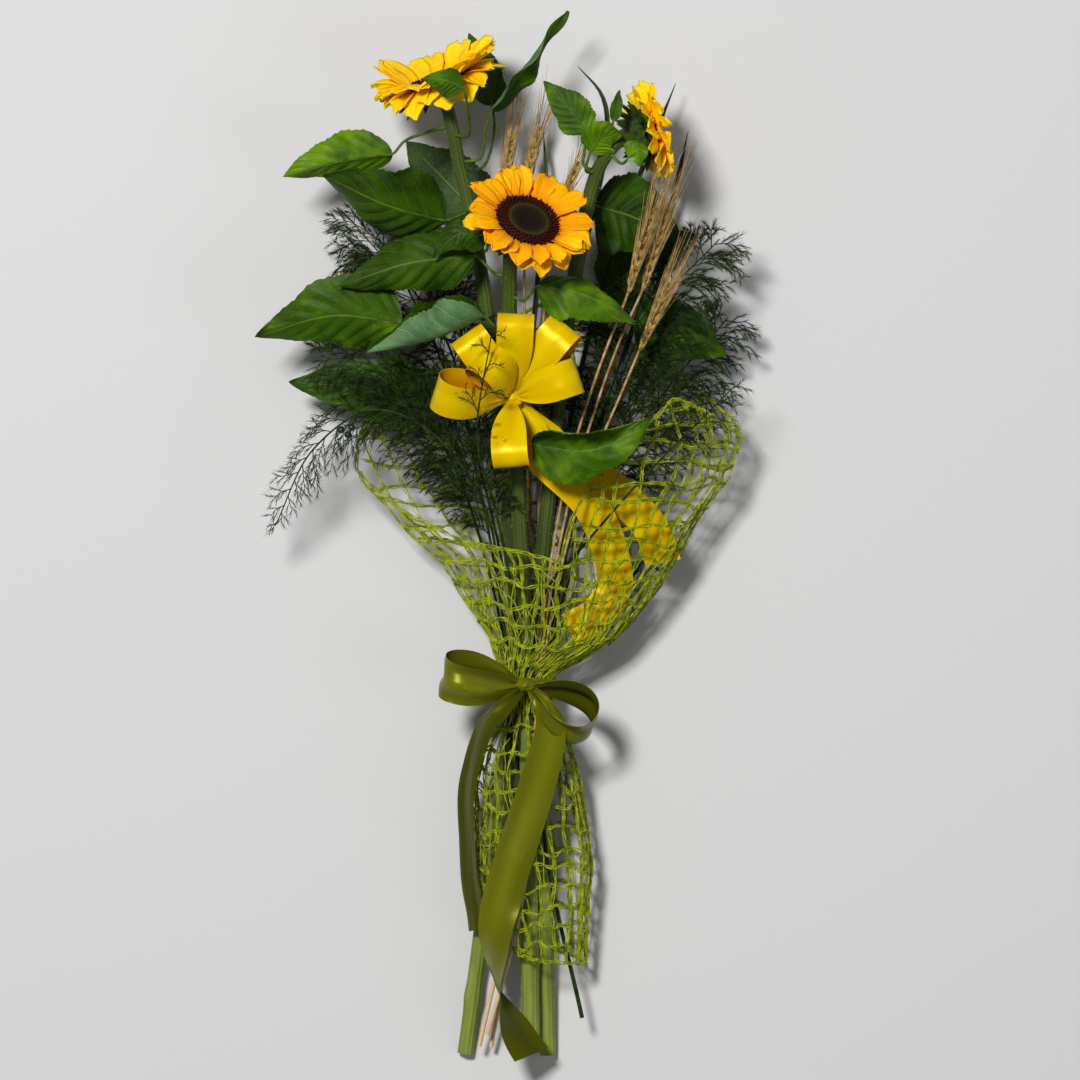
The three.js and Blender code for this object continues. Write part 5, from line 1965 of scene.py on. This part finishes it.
@dataclass
class RibbonLoop:
    """A drop-shaped loop that leaves the knot, bulges and comes back."""

    out: Point
    across: Point
    length: float
    bulge: float
    fold: float = 0.3

    def surface(self, knot: Point, width: float) -> Surface:
        """Gives the loop's surface.

        Args:
            knot: the middle of the knot.
            width: the ribbon's width.

        Returns:
            A function of the share along and the place across.
        """
        outward = Vector(self.out).normalized()
        side = (Vector(self.across) - outward * Vector(self.across).dot(outward)).normalized()
        lift = side.cross(outward)

        def place(u: float, v: float) -> Vector:
            """The loop's point at a share along and a place across.

            Args:
                u: 0 at the knot, 1 back at it.
                v: -1 to 1.

            Returns:
                The point.
            """
            share = 0.06 + 0.88 * u
            swell = math.sin(math.pi * share)
            drawn_in = 0.16 + 0.84 * smooth(0.1, 0.85, swell)
            pleat = 2.2 * (1 - swell) ** 1.3 * math.cos(3 * math.pi * v)
            point = Vector(knot) + outward * (3 + (self.length - 3) * swell**2)
            fold = self.fold * math.sin(4.4 * v + 4 * share) * swell
            point += lift * (1.3 * self.bulge * math.sin(math.tau * share) * swell + pleat + fold)
            return point - side * (v * width * drawn_in / 2)

        return place

    def cut_length(self) -> float:
        """Measures the loop along its middle.

        Returns:
            The length of ribbon in it.
        """
        place = self.surface((0, 0, 0), 0)
        line = [place(i / 40, 0) for i in range(41)]
        return sum((b - a).length for a, b in zip(line, line[1:]))


@dataclass
class RibbonTail:
    """A tail that follows a line, turned the way its width directions say."""

    centres: Sequence[Point]
    across: Sequence[Point]
    pinch: Table
    fold: float = 0.3

    def surface(self, width: float) -> Surface:
        """Gives the tail's surface.

        Args:
            width: the ribbon's width.

        Returns:
            A function of the share along and the place across.
        """
        route = Route(self.centres)
        turn = Route(self.across)

        def place(u: float, v: float) -> Vector:
            """The tail's point at a share along and a place across.

            Args:
                u: 0 at the knot, 1 at the end.
                v: -1 to 1.

            Returns:
                The point.
            """
            side = turn.point(u).normalized()
            drawn_in = between(u, self.pinch)
            pleat = 2.4 * (1 - drawn_in) * math.cos(3 * math.pi * v)
            wave = 0.5 * math.sin(0.11 * u * route.length) * smooth(0, 0.2, u)
            fold = self.fold * math.sin(3 * v + 7 * u) * (1 - 0.6 * u)
            crown = side.cross(route.tangent(u)) * (pleat + wave + fold + 0.3 * v * v)
            return route.point(u) + side * (v * width * drawn_in / 2) + crown

        return place

    def cut_length(self) -> float:
        """The length of the tail."""
        return Route(self.centres).length


@dataclass
class Bow:
    """A ribbon bow: loops and tails from one knot, with what ties it."""

    name: str
    node: str
    slot: Slot
    width: float
    knot: Point
    knot_radii: Point
    loops: Sequence[RibbonLoop]
    tails: Sequence[RibbonTail]
    finishes: Sequence[Finish]
    rests_on: Sequence[str]
    thickness: float = 0.4
    tie_length: float = 60.0

    def add_knot(self, bm: Mesh) -> None:
        """Adds the knot, with the folds of the ribbon drawn tight round it.

        Args:
            bm: the mesh to add to.
        """
        made = bmesh.ops.create_uvsphere(bm, u_segments=28, v_segments=16, radius=1)["verts"]
        for vert in made:
            angle = math.atan2(vert.co.z, vert.co.x)
            fold = 1 + 0.09 * math.sin(5 * angle + 3 * vert.co.y)
            fold += 0.04 * math.sin(11 * vert.co.y + 2 * angle)
            vert.co = Vector(self.knot) + vert.co * fold * Vector(self.knot_radii)
        for face in faces_round(made):
            face.smooth = True

    def add_tie(self, bm: Mesh) -> None:
        """Adds the narrow tie that holds the knot against the front stem.

        Args:
            bm: the mesh to add to.
        """
        flower = SUNFLOWERS["front"]
        curve = flower.curve
        shares = [i / 400 for i in range(401)]
        share = min(shares, key=lambda s: abs(curve.point(curve.even(s)).y - self.knot[1]))
        inner = flower.radius_at(share) + 0.4
        turn = Vector((0, 0, 1)).rotation_difference(curve.tangent(curve.even(share)))
        middle, edge = inner + 2, inner + 1.6
        profile = ((inner, -4), (edge, -4), (middle, 0), (edge, 4), (inner, 4), (inner, -4))
        where = Matrix.Translation(curve.point(curve.even(share))) @ turn.to_matrix().to_4x4()
        turned(bm, profile, 28, where)

    def build(self) -> Piece:
        """Builds the ribbon as one piece, and says how long it was cut.

        Returns:
            The piece.
        """
        sheet = new_bmesh()
        for loop in self.loops:
            bent_grid(sheet, 8, 44, loop.surface(self.knot, self.width))
        for tail in self.tails:
            bent_grid(sheet, 8, 80, tail.surface(self.width))
        bm = thickened(sheet, self.name, self.thickness, len(self.finishes) - 1)
        self.add_knot(bm)
        self.add_tie(bm)
        piece = finished(self.name, bm, self.finishes, self.node, self.slot)
        length = sum(part.cut_length() for part in (*self.loops, *self.tails)) + self.tie_length
        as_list(self.rests_on)
        LOG.info("%s: %.0f mm of ribbon %.0f mm wide", self.name, length, self.width)
        return piece


@dataclass
class BandedBow(Bow):
    """A bow whose ribbon also goes round the whole bunch."""

    inner: float = 22.6
    outer: float = 23.6
    low: float = -2.0
    high: float = 10.0

    def add_tie(self, bm: Mesh) -> None:
        """Adds the band round the bunch, gathered in soft folds.

        Args:
            bm: the mesh to add to.
        """
        folds = [
            (self.outer - 0.35 * (1 + math.cos(math.tau * s * 3)), self.low + (self.high - self.low) * s)
            for s in (i / 18 for i in range(19))
        ]
        profile = [(self.inner, self.low), *folds, (self.inner, self.high), (self.inner, self.low)]
        turned(bm, profile, 48, ROUND_THE_TIE)


YELLOW_PINCH = ((0, 0.25), (0.15, 0.9), (0.25, 1))
YELLOW_BOW = Bow(
    name="bow_yellow_satin",
    node="bow_yellow",
    slot=Slot.RIBBON_YELLOW,
    width=31,
    knot=(-13, 248, 112.5),
    knot_radii=(10, 9, 8),
    loops=(
        RibbonLoop((0.05, 0.95, 0.4), (1, 0, 0), 76, 13),
        RibbonLoop((0.6, 0.78, 0.3), (0.8, -0.5, 0.2), 80, 13),
        RibbonLoop((0.96, 0.32, 0.3), (0, 1, 0.1), 62, 16),
        RibbonLoop((-0.43, 0.59, 0.69), (0.6, 0.75, -0.27), 58, 15),
        RibbonLoop((-0.95, 0.06, 0.4), (0.2, 0.8, 0.5), 70, 16),
        RibbonLoop((-0.58, 0.8, 0.35), (0.7, 0.6, 0), 70, 12),
        RibbonLoop((0, -0.9, 0.5), (0.95, 0, 0.2), 66, 13),
    ),
    tails=(
        RibbonTail(
            (
                (-12, 246, 106), (2, 222, 106), (14, 198, 103), (52, 160, 98), (71, 116, 80), (74, 88, 69),
                (62, 66, 70), (36, 50, 74),
            ),
            (
                (1, 0.2, 0.2), (1, 0.5, 0.1), (0.8, 0.6, 0), (0.7, 0.7, 0.1), (0.95, 0.3, 0.1),
                (0.95, -0.25, 0.1), (0.7, -0.7, 0.1), (0.45, -0.9, 0.1),
            ),
            YELLOW_PINCH,
        ),
        RibbonTail(
            ((-8, 246, 108), (30, 200, 90), (76, 168, 84), (106, 136, 74), (116, 108, 62)),
            ((1, 0.2, 0.2), (0.8, 0.6, 0), (0.6, 0.7, 0.2), (0.9, 0.35, 0.2), (0.95, 0.2, 0.2)),
            YELLOW_PINCH,
        ),
    ),
    finishes=(YELLOW_FACE, YELLOW_BACK_SHADED),
    rests_on=("stem_front",),
)

OLIVE_PINCH = ((0, 0.2), (0.1, 0.45), (0.26, 0.92), (0.45, 1))
OLIVE_CREASE = ((0, 0.2), (0.1, 0.45), (0.26, 0.85), (0.45, 0.72), (1, 0.7))
OLIVE_RIBBON = BandedBow(
    name="ribbon_olive_satin",
    node="ribbon_olive",
    slot=Slot.RIBBON_OLIVE,
    width=36,
    knot=(-2, 4, 81.6),
    knot_radii=(9, 6, 8.7),
    loops=(
        RibbonLoop((-0.96, 0.1, 0.24), (-0.1, 0.9, 0.45), 72, 17, fold=4.2),
        RibbonLoop((0.84, -0.5, 0.12), (-0.35, 0.7, 0.6), 68, 20, fold=3.4),
    ),
    tails=(
        RibbonTail(
            (
                (-2, 4, 82), (-24, -16, 93), (-38, -36, 86), (-50, -76, 68), (-51, -130, 56),
                (-47, -176, 46), (-43, -206, 42),
            ),
            (
                (-0.8, 0.6, -0.2), (-0.6, 0.3, -0.7), (-0.6, -0.1, -0.7), (-0.55, 0, -0.8),
                (-0.5, 0, -0.82), (-0.55, -0.1, -0.8), (-0.55, -0.1, -0.8),
            ),
            OLIVE_CREASE,
            fold=2.0,
        ),
        RibbonTail(
            (
                (0, 4, 82), (14, -10, 93), (20, -30, 92), (10, -76, 84), (-6, -127, 78), (-22, -180, 70),
                (-28, -216, 64), (-25, -252, 58), (-10, -290, 52), (4, -312, 50),
            ),
            (
                (1, 0, 0), (0.8, 0.2, 0.5), (0.8, 0.2, 0.4), (0.95, 0.1, 0.2), (1, 0.1, 0.1), (1, 0.1, 0.2),
                (0.7, 0.1, 0.7), (0.1, 0, 0.95), (-0.6, -0.2, 0.6), (-0.8, -0.3, 0.5),
            ),
            OLIVE_PINCH,
            fold=2.0,
        ),
    ),
    finishes=(OLIVE_FACE, OLIVE_BACK_SHADED),
    rests_on=("net_wrap",),
    tie_length=200.0,
)


# Net and elastic


@dataclass
class Net:
    """An open sisal net, gathered at the tie: a cone above, open in a V at the front, and a skirt below."""

    half_width: Table = (
        (-230, 36), (-178, 45), (-150, 51), (-76, 45), (-44, 36), (-20, 21), (12, 21), (42, 53), (76, 79),
        (110, 102), (145, 130), (178, 157), (212, 168), (260, 160), (330, 140),
    )
    middle_x: Table = (
        (-230, 14), (-178, 9), (-150, 6), (-76, 0), (12, 0), (42, 22), (76, 26), (110, 28), (145, 21),
        (212, 18), (330, 10),
    )
    half_depth: Table = (
        (-230, 32), (-127, 38), (-44, 30), (-20, 21), (12, 21), (42, 36), (76, 47), (110, 58), (145, 66),
        (212, 75), (330, 75),
    )
    middle_z: Table = (
        (-230, 28), (-127, 37), (-44, 45), (-20, 50), (42, 50), (110, 56), (145, 62), (212, 68), (330, 70),
    )
    top: Table = (
        (-180, 330), (-135, 285), (-100, 225), (-80, 150), (-60, 126), (-20, 116), (0, 108), (8, 140),
        (16, 178), (31, 221), (49, 248), (70, 235), (90, 214), (110, 240), (135, 285), (180, 330),
    )
    bottom: Table = (
        (-180, -222), (-141, -150), (-90, -152), (-64, -190), (-39, -226), (0, -232), (90, -236),
        (180, -222),
    )
    ribs: int = 40
    pitch: float = 17.0
    fibres: int = 5
    strays: int = 44
    fibre_radius: float = 0.48
    wander: float = 1.4
    step: float = 7.0
    flatter: float = 0.25
    flat_left: float = 0.85
    flat_right: float = 0.4
    lowest: float = 0.6

    def point(self, y: float, angle: float) -> Vector:
        """A point of the sheet.

        Args:
            y: how far above the tie it is, or below it where negative.
            angle: the degrees round from the front, positive towards the right.

        Returns:
            The point.
        """
        angle = (angle + 180) % 360 - 180
        turn = math.radians(angle)
        quarters = abs(angle) / 90
        flat = (self.flat_left if angle < 0 else self.flat_right) * smooth(20, 110, y)
        out = math.sin(turn) * (1 - flat) + math.copysign(1 - abs(1 - quarters), angle) * flat
        up = math.cos(turn) * (1 - flat) + (1 - quarters) * flat
        fold = 1 + 0.035 * math.sin(5 * turn + 0.02 * y) * smooth(20, 120, abs(y))
        front = 1 - self.flatter * smooth(120, 200, y) * smooth(-0.2, 0.4, up)
        x = between(y, self.middle_x) + between(y, self.half_width) * fold * out
        z = between(y, self.middle_z) + between(y, self.half_depth) * fold * front * up
        return Vector((x, y, max(z, 1.4)))

    def edge(self, table: Table, angle: float) -> float:
        """How far the sheet reaches at an angle, up or down by the table that is given."""
        return between((angle + 180) % 360 - 180, table)

    def ring(self, y: float, draw: random.Random) -> list[list[Vector]]:
        """The stretches of a level thread that lie within the sheet's edges.

        Args:
            y: the thread's level.
            draw: the seeded draws.

        Returns:
            The points of each stretch.
        """
        phase = draw.uniform(0, math.tau)
        stretches: list[list[Vector]] = [[]]
        for angle in range(-180, 181, 4):
            sway = math.sin(math.radians(3 * angle) + phase)
            sway += 0.6 * math.sin(math.radians(10 * angle) + 2 * phase)
            level = y + 3.6 * sway
            if self.edge(self.bottom, angle) < level < self.edge(self.top, angle):
                stretches[-1].append(self.point(level, angle))
            elif stretches[-1]:
                stretches.append([])
        return [stretch for stretch in stretches if len(stretch) > 2]

    def rib(self, angle: float, low: float, phase: float) -> list[Vector]:
        """The points of a thread that runs up to the sheet's top edge.

        Args:
            angle: the degrees round from the front.
            low: the level at which the thread starts.
            phase: where its slight waves start.

        Returns:
            The points.
        """
        high = self.edge(self.top, angle)
        count = round((high - low) / self.step)
        levels = [low + (high - low) * i / count for i in range(count + 1)]
        sway = 1.2 + 1.6 * smooth(-30, -80, low)
        turns = [angle + sway * math.sin(0.06 * y + phase) * smooth(10, 60, abs(y)) for y in levels]
        return [self.point(y, turn) for y, turn in zip(levels, turns)]

    def stray(self, draw: random.Random) -> list[Vector]:
        """Draws a loose fibre that has come out of its thread and drifts round the sheet.

        Args:
            draw: the seeded draws.

        Returns:
            Its points.
        """
        start = draw.uniform(-160, 160)
        drift = draw.uniform(-70, 70)
        low, high = draw.choice(((-190, -40), (20, 105)))
        levels = [low + (high - low) * i / 16 for i in range(17)]
        return [self.point(y, start + drift * i / 16) for i, y in enumerate(levels)]

    def hem(self, table: Table) -> list[Vector]:
        """The points of the thread along the sheet's top or bottom edge."""
        return [self.point(self.edge(table, angle), angle) for angle in range(-180, 181, 3)]

    def add_thread(self, fibres: Strands, line: Sequence[Vector], count: int, draw: random.Random) -> None:
        """Adds a thread of loose, wavy fibres along a line.

        Args:
            fibres: the net's fibres.
            line: the thread's line.
            count: how many fibres it has.
            draw: the seeded draws.
        """
        for _ in range(count):
            phases = [draw.uniform(0, math.tau) for _ in range(3)]
            pitch = draw.uniform(0.6, 1.6)
            points = []
            for i, point in enumerate(line):
                waves = [math.sin(pitch * i + phase) for phase in phases]
                moved = point + Vector(waves) * self.wander
                moved.z = max(moved.z, self.lowest)
                points.append(moved)
            fibres.add(points, self.fibre_radius, self.fibre_radius * 0.8)

    def build(self) -> Piece:
        """Builds the net as one piece, with short ends that stand off its threads.

        Returns:
            The piece.
        """
        draw = random.Random(5)
        top = max(y for _, y in self.top)
        bottom = min(y for _, y in self.bottom)
        levels = [22 + self.pitch * i for i in range(int((top - 26) / self.pitch) + 1)]
        levels += [-34 - self.pitch * i for i in range(int((-38 - bottom) / self.pitch) + 1)]
        threads = [stretch for y in levels for stretch in self.ring(y, draw)]
        for k in range(self.ribs):
            angle = 360 * k / self.ribs + draw.uniform(-1.5, 1.5)
            low = -20.0 if k % 2 else self.edge(self.bottom, angle)
            threads.append(self.rib(angle, low, draw.uniform(0, math.tau)))
        threads += [self.hem(self.top), self.hem(self.bottom)]
        fibres = Strands()
        ends = Spikes()
        for _ in range(self.strays):
            self.add_thread(fibres, self.stray(draw), 1, draw)
        for thread in threads:
            self.add_thread(fibres, thread, self.fibres if thread[0].y > -20 else self.fibres - 1, draw)
            for _ in range(len(thread) // 3):
                aim = Vector((draw.gauss(0, 1), draw.gauss(0, 1), draw.gauss(0, 0.6))).normalized()
                ends.add(draw.choice(thread), aim, draw.uniform(3, 10), 0.3)
        bm = new_bmesh()
        fibres.into(bm)
        ends.into(bm)
        area = sum(face.calc_area() for face in bm.faces) / 2 * MM**2
        LOG.info("net: %.3f square metres of fibre", area)
        piece = finished("net_wrap_fibres", bm, [NET_FIBRE], "net_wrap", Slot.NET)
        return piece


@dataclass
class Elastic:
    """The teal elastic that binds the stems inside the net."""

    inner: float = 18.2
    outer: float = 19.1
    low: float = -17.0
    high: float = -12.0

    def build(self) -> Piece:
        """Builds the band, with its edges rounded, as one piece.

        Returns:
            The piece.
        """
        middle = (self.low + self.high) / 2
        bulge = [
            (self.outer - 0.3 * (2 * s - 1) ** 4, self.low + (self.high - self.low) * s)
            for s in (i / 8 for i in range(9))
        ]
        corners = (self.inner, self.low), *bulge, (self.inner, self.high)
        bm = new_bmesh()
        turned(bm, [(self.inner, middle), *corners, (self.inner, middle)], 48, ROUND_THE_TIE)
        return finished("elastic_inner_band", bm, [ELASTIC_RUBBER], "elastic_inner", Slot.ELASTIC)


# Studio


@dataclass
class Lamp:
    """A soft square lamp."""

    name: str
    place: Point
    size: float
    watts: float
    colour: str


@dataclass
class Studio:
    """The pale table, the soft light and the camera that looks straight down."""

    view_centre: Point = (11, 127.5, 85)
    view_width: float = 918.0
    height: float = 8.0
    sensor_mm: float = 36.0
    floor_colour: str = "#D0D1D3"
    floor_reach: float = 6.0
    floor_drop: float = 0.0005
    room_colour: str = "#F4F4F2"
    room_light: float = 0.16
    lamps: Sequence[Lamp] = (
        Lamp("key", (-1.2, 1.5, 4.7), 0.8, 245, "#FFFDFA"),
        Lamp("fill", (2.2, -0.8, 2.6), 1.6, 10, "#FFFFFF"),
    )

    def build_floor(self) -> None:
        """Lays the table top."""
        bm = bmesh.new()
        bmesh.ops.create_grid(bm, x_segments=1, y_segments=1, size=self.floor_reach)
        mesh = bpy.data.meshes.new("table_top")
        bm.to_mesh(mesh)
        bm.free()
        mesh.transform(Matrix.Translation((0, 0, -self.floor_drop)))
        material = bpy.data.materials.new("table_paper_matt")
        material.use_nodes = True
        Painter(material.node_tree).set(Base_Color=linear(self.floor_colour), Roughness=0.9)
        mesh.materials.append(material)
        floor = put("table_top", mesh)

    def build_light(self) -> None:
        """Hangs the lamps and sets the room's own light."""
        aim = TO_ROW @ Vector(self.view_centre)
        for lamp in self.lamps:
            light = bpy.data.lights.new(lamp.name, "AREA")
            light.size = lamp.size
            light.energy = lamp.watts
            light.color = linear(lamp.colour)[:3]
            holder = put(lamp.name, light)
            holder.location = lamp.place
            holder.rotation_euler = (aim - Vector(lamp.place)).to_track_quat("-Z", "Y").to_euler()
        world = bpy.data.worlds.new("room")
        world.use_nodes = True
        backdrop = world.node_tree.nodes["Background"]
        backdrop.inputs["Color"].default_value = linear(self.room_colour)
        backdrop.inputs["Strength"].default_value = self.room_light
        bpy.context.scene.world = world

    def build_camera(self) -> None:
        """Hangs the camera over the middle of the picture."""
        centre = TO_ROW @ Vector(self.view_centre)
        lens = bpy.data.cameras.new("overhead")
        lens.sensor_width = self.sensor_mm
        lens.lens = self.sensor_mm * self.height / (self.view_width * MM)
        camera = put("overhead", lens)
        camera.location = centre + Vector((0, 0, self.height))
        bpy.context.scene.camera = camera

    def build(self) -> None:
        """Sets up the studio."""
        self.build_floor()
        self.build_light()
        self.build_camera()
        bpy.context.scene.view_settings.view_transform = "Standard"


def main() -> None:
    """Builds the bunch, piece by piece, and writes how large it came out."""
    logging.basicConfig(level=logging.INFO, format="%(name)s: %(message)s")
    Studio().build()
    wrapping = (YELLOW_BOW, OLIVE_RIBBON, Net(), Elastic())
    for part in (*SUNFLOWERS.values(), *LEAVES, *WHEAT, *GRASSES, *FERNS, *wrapping):
        part.build()
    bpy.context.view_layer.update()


if __name__ == "__main__":
    main()
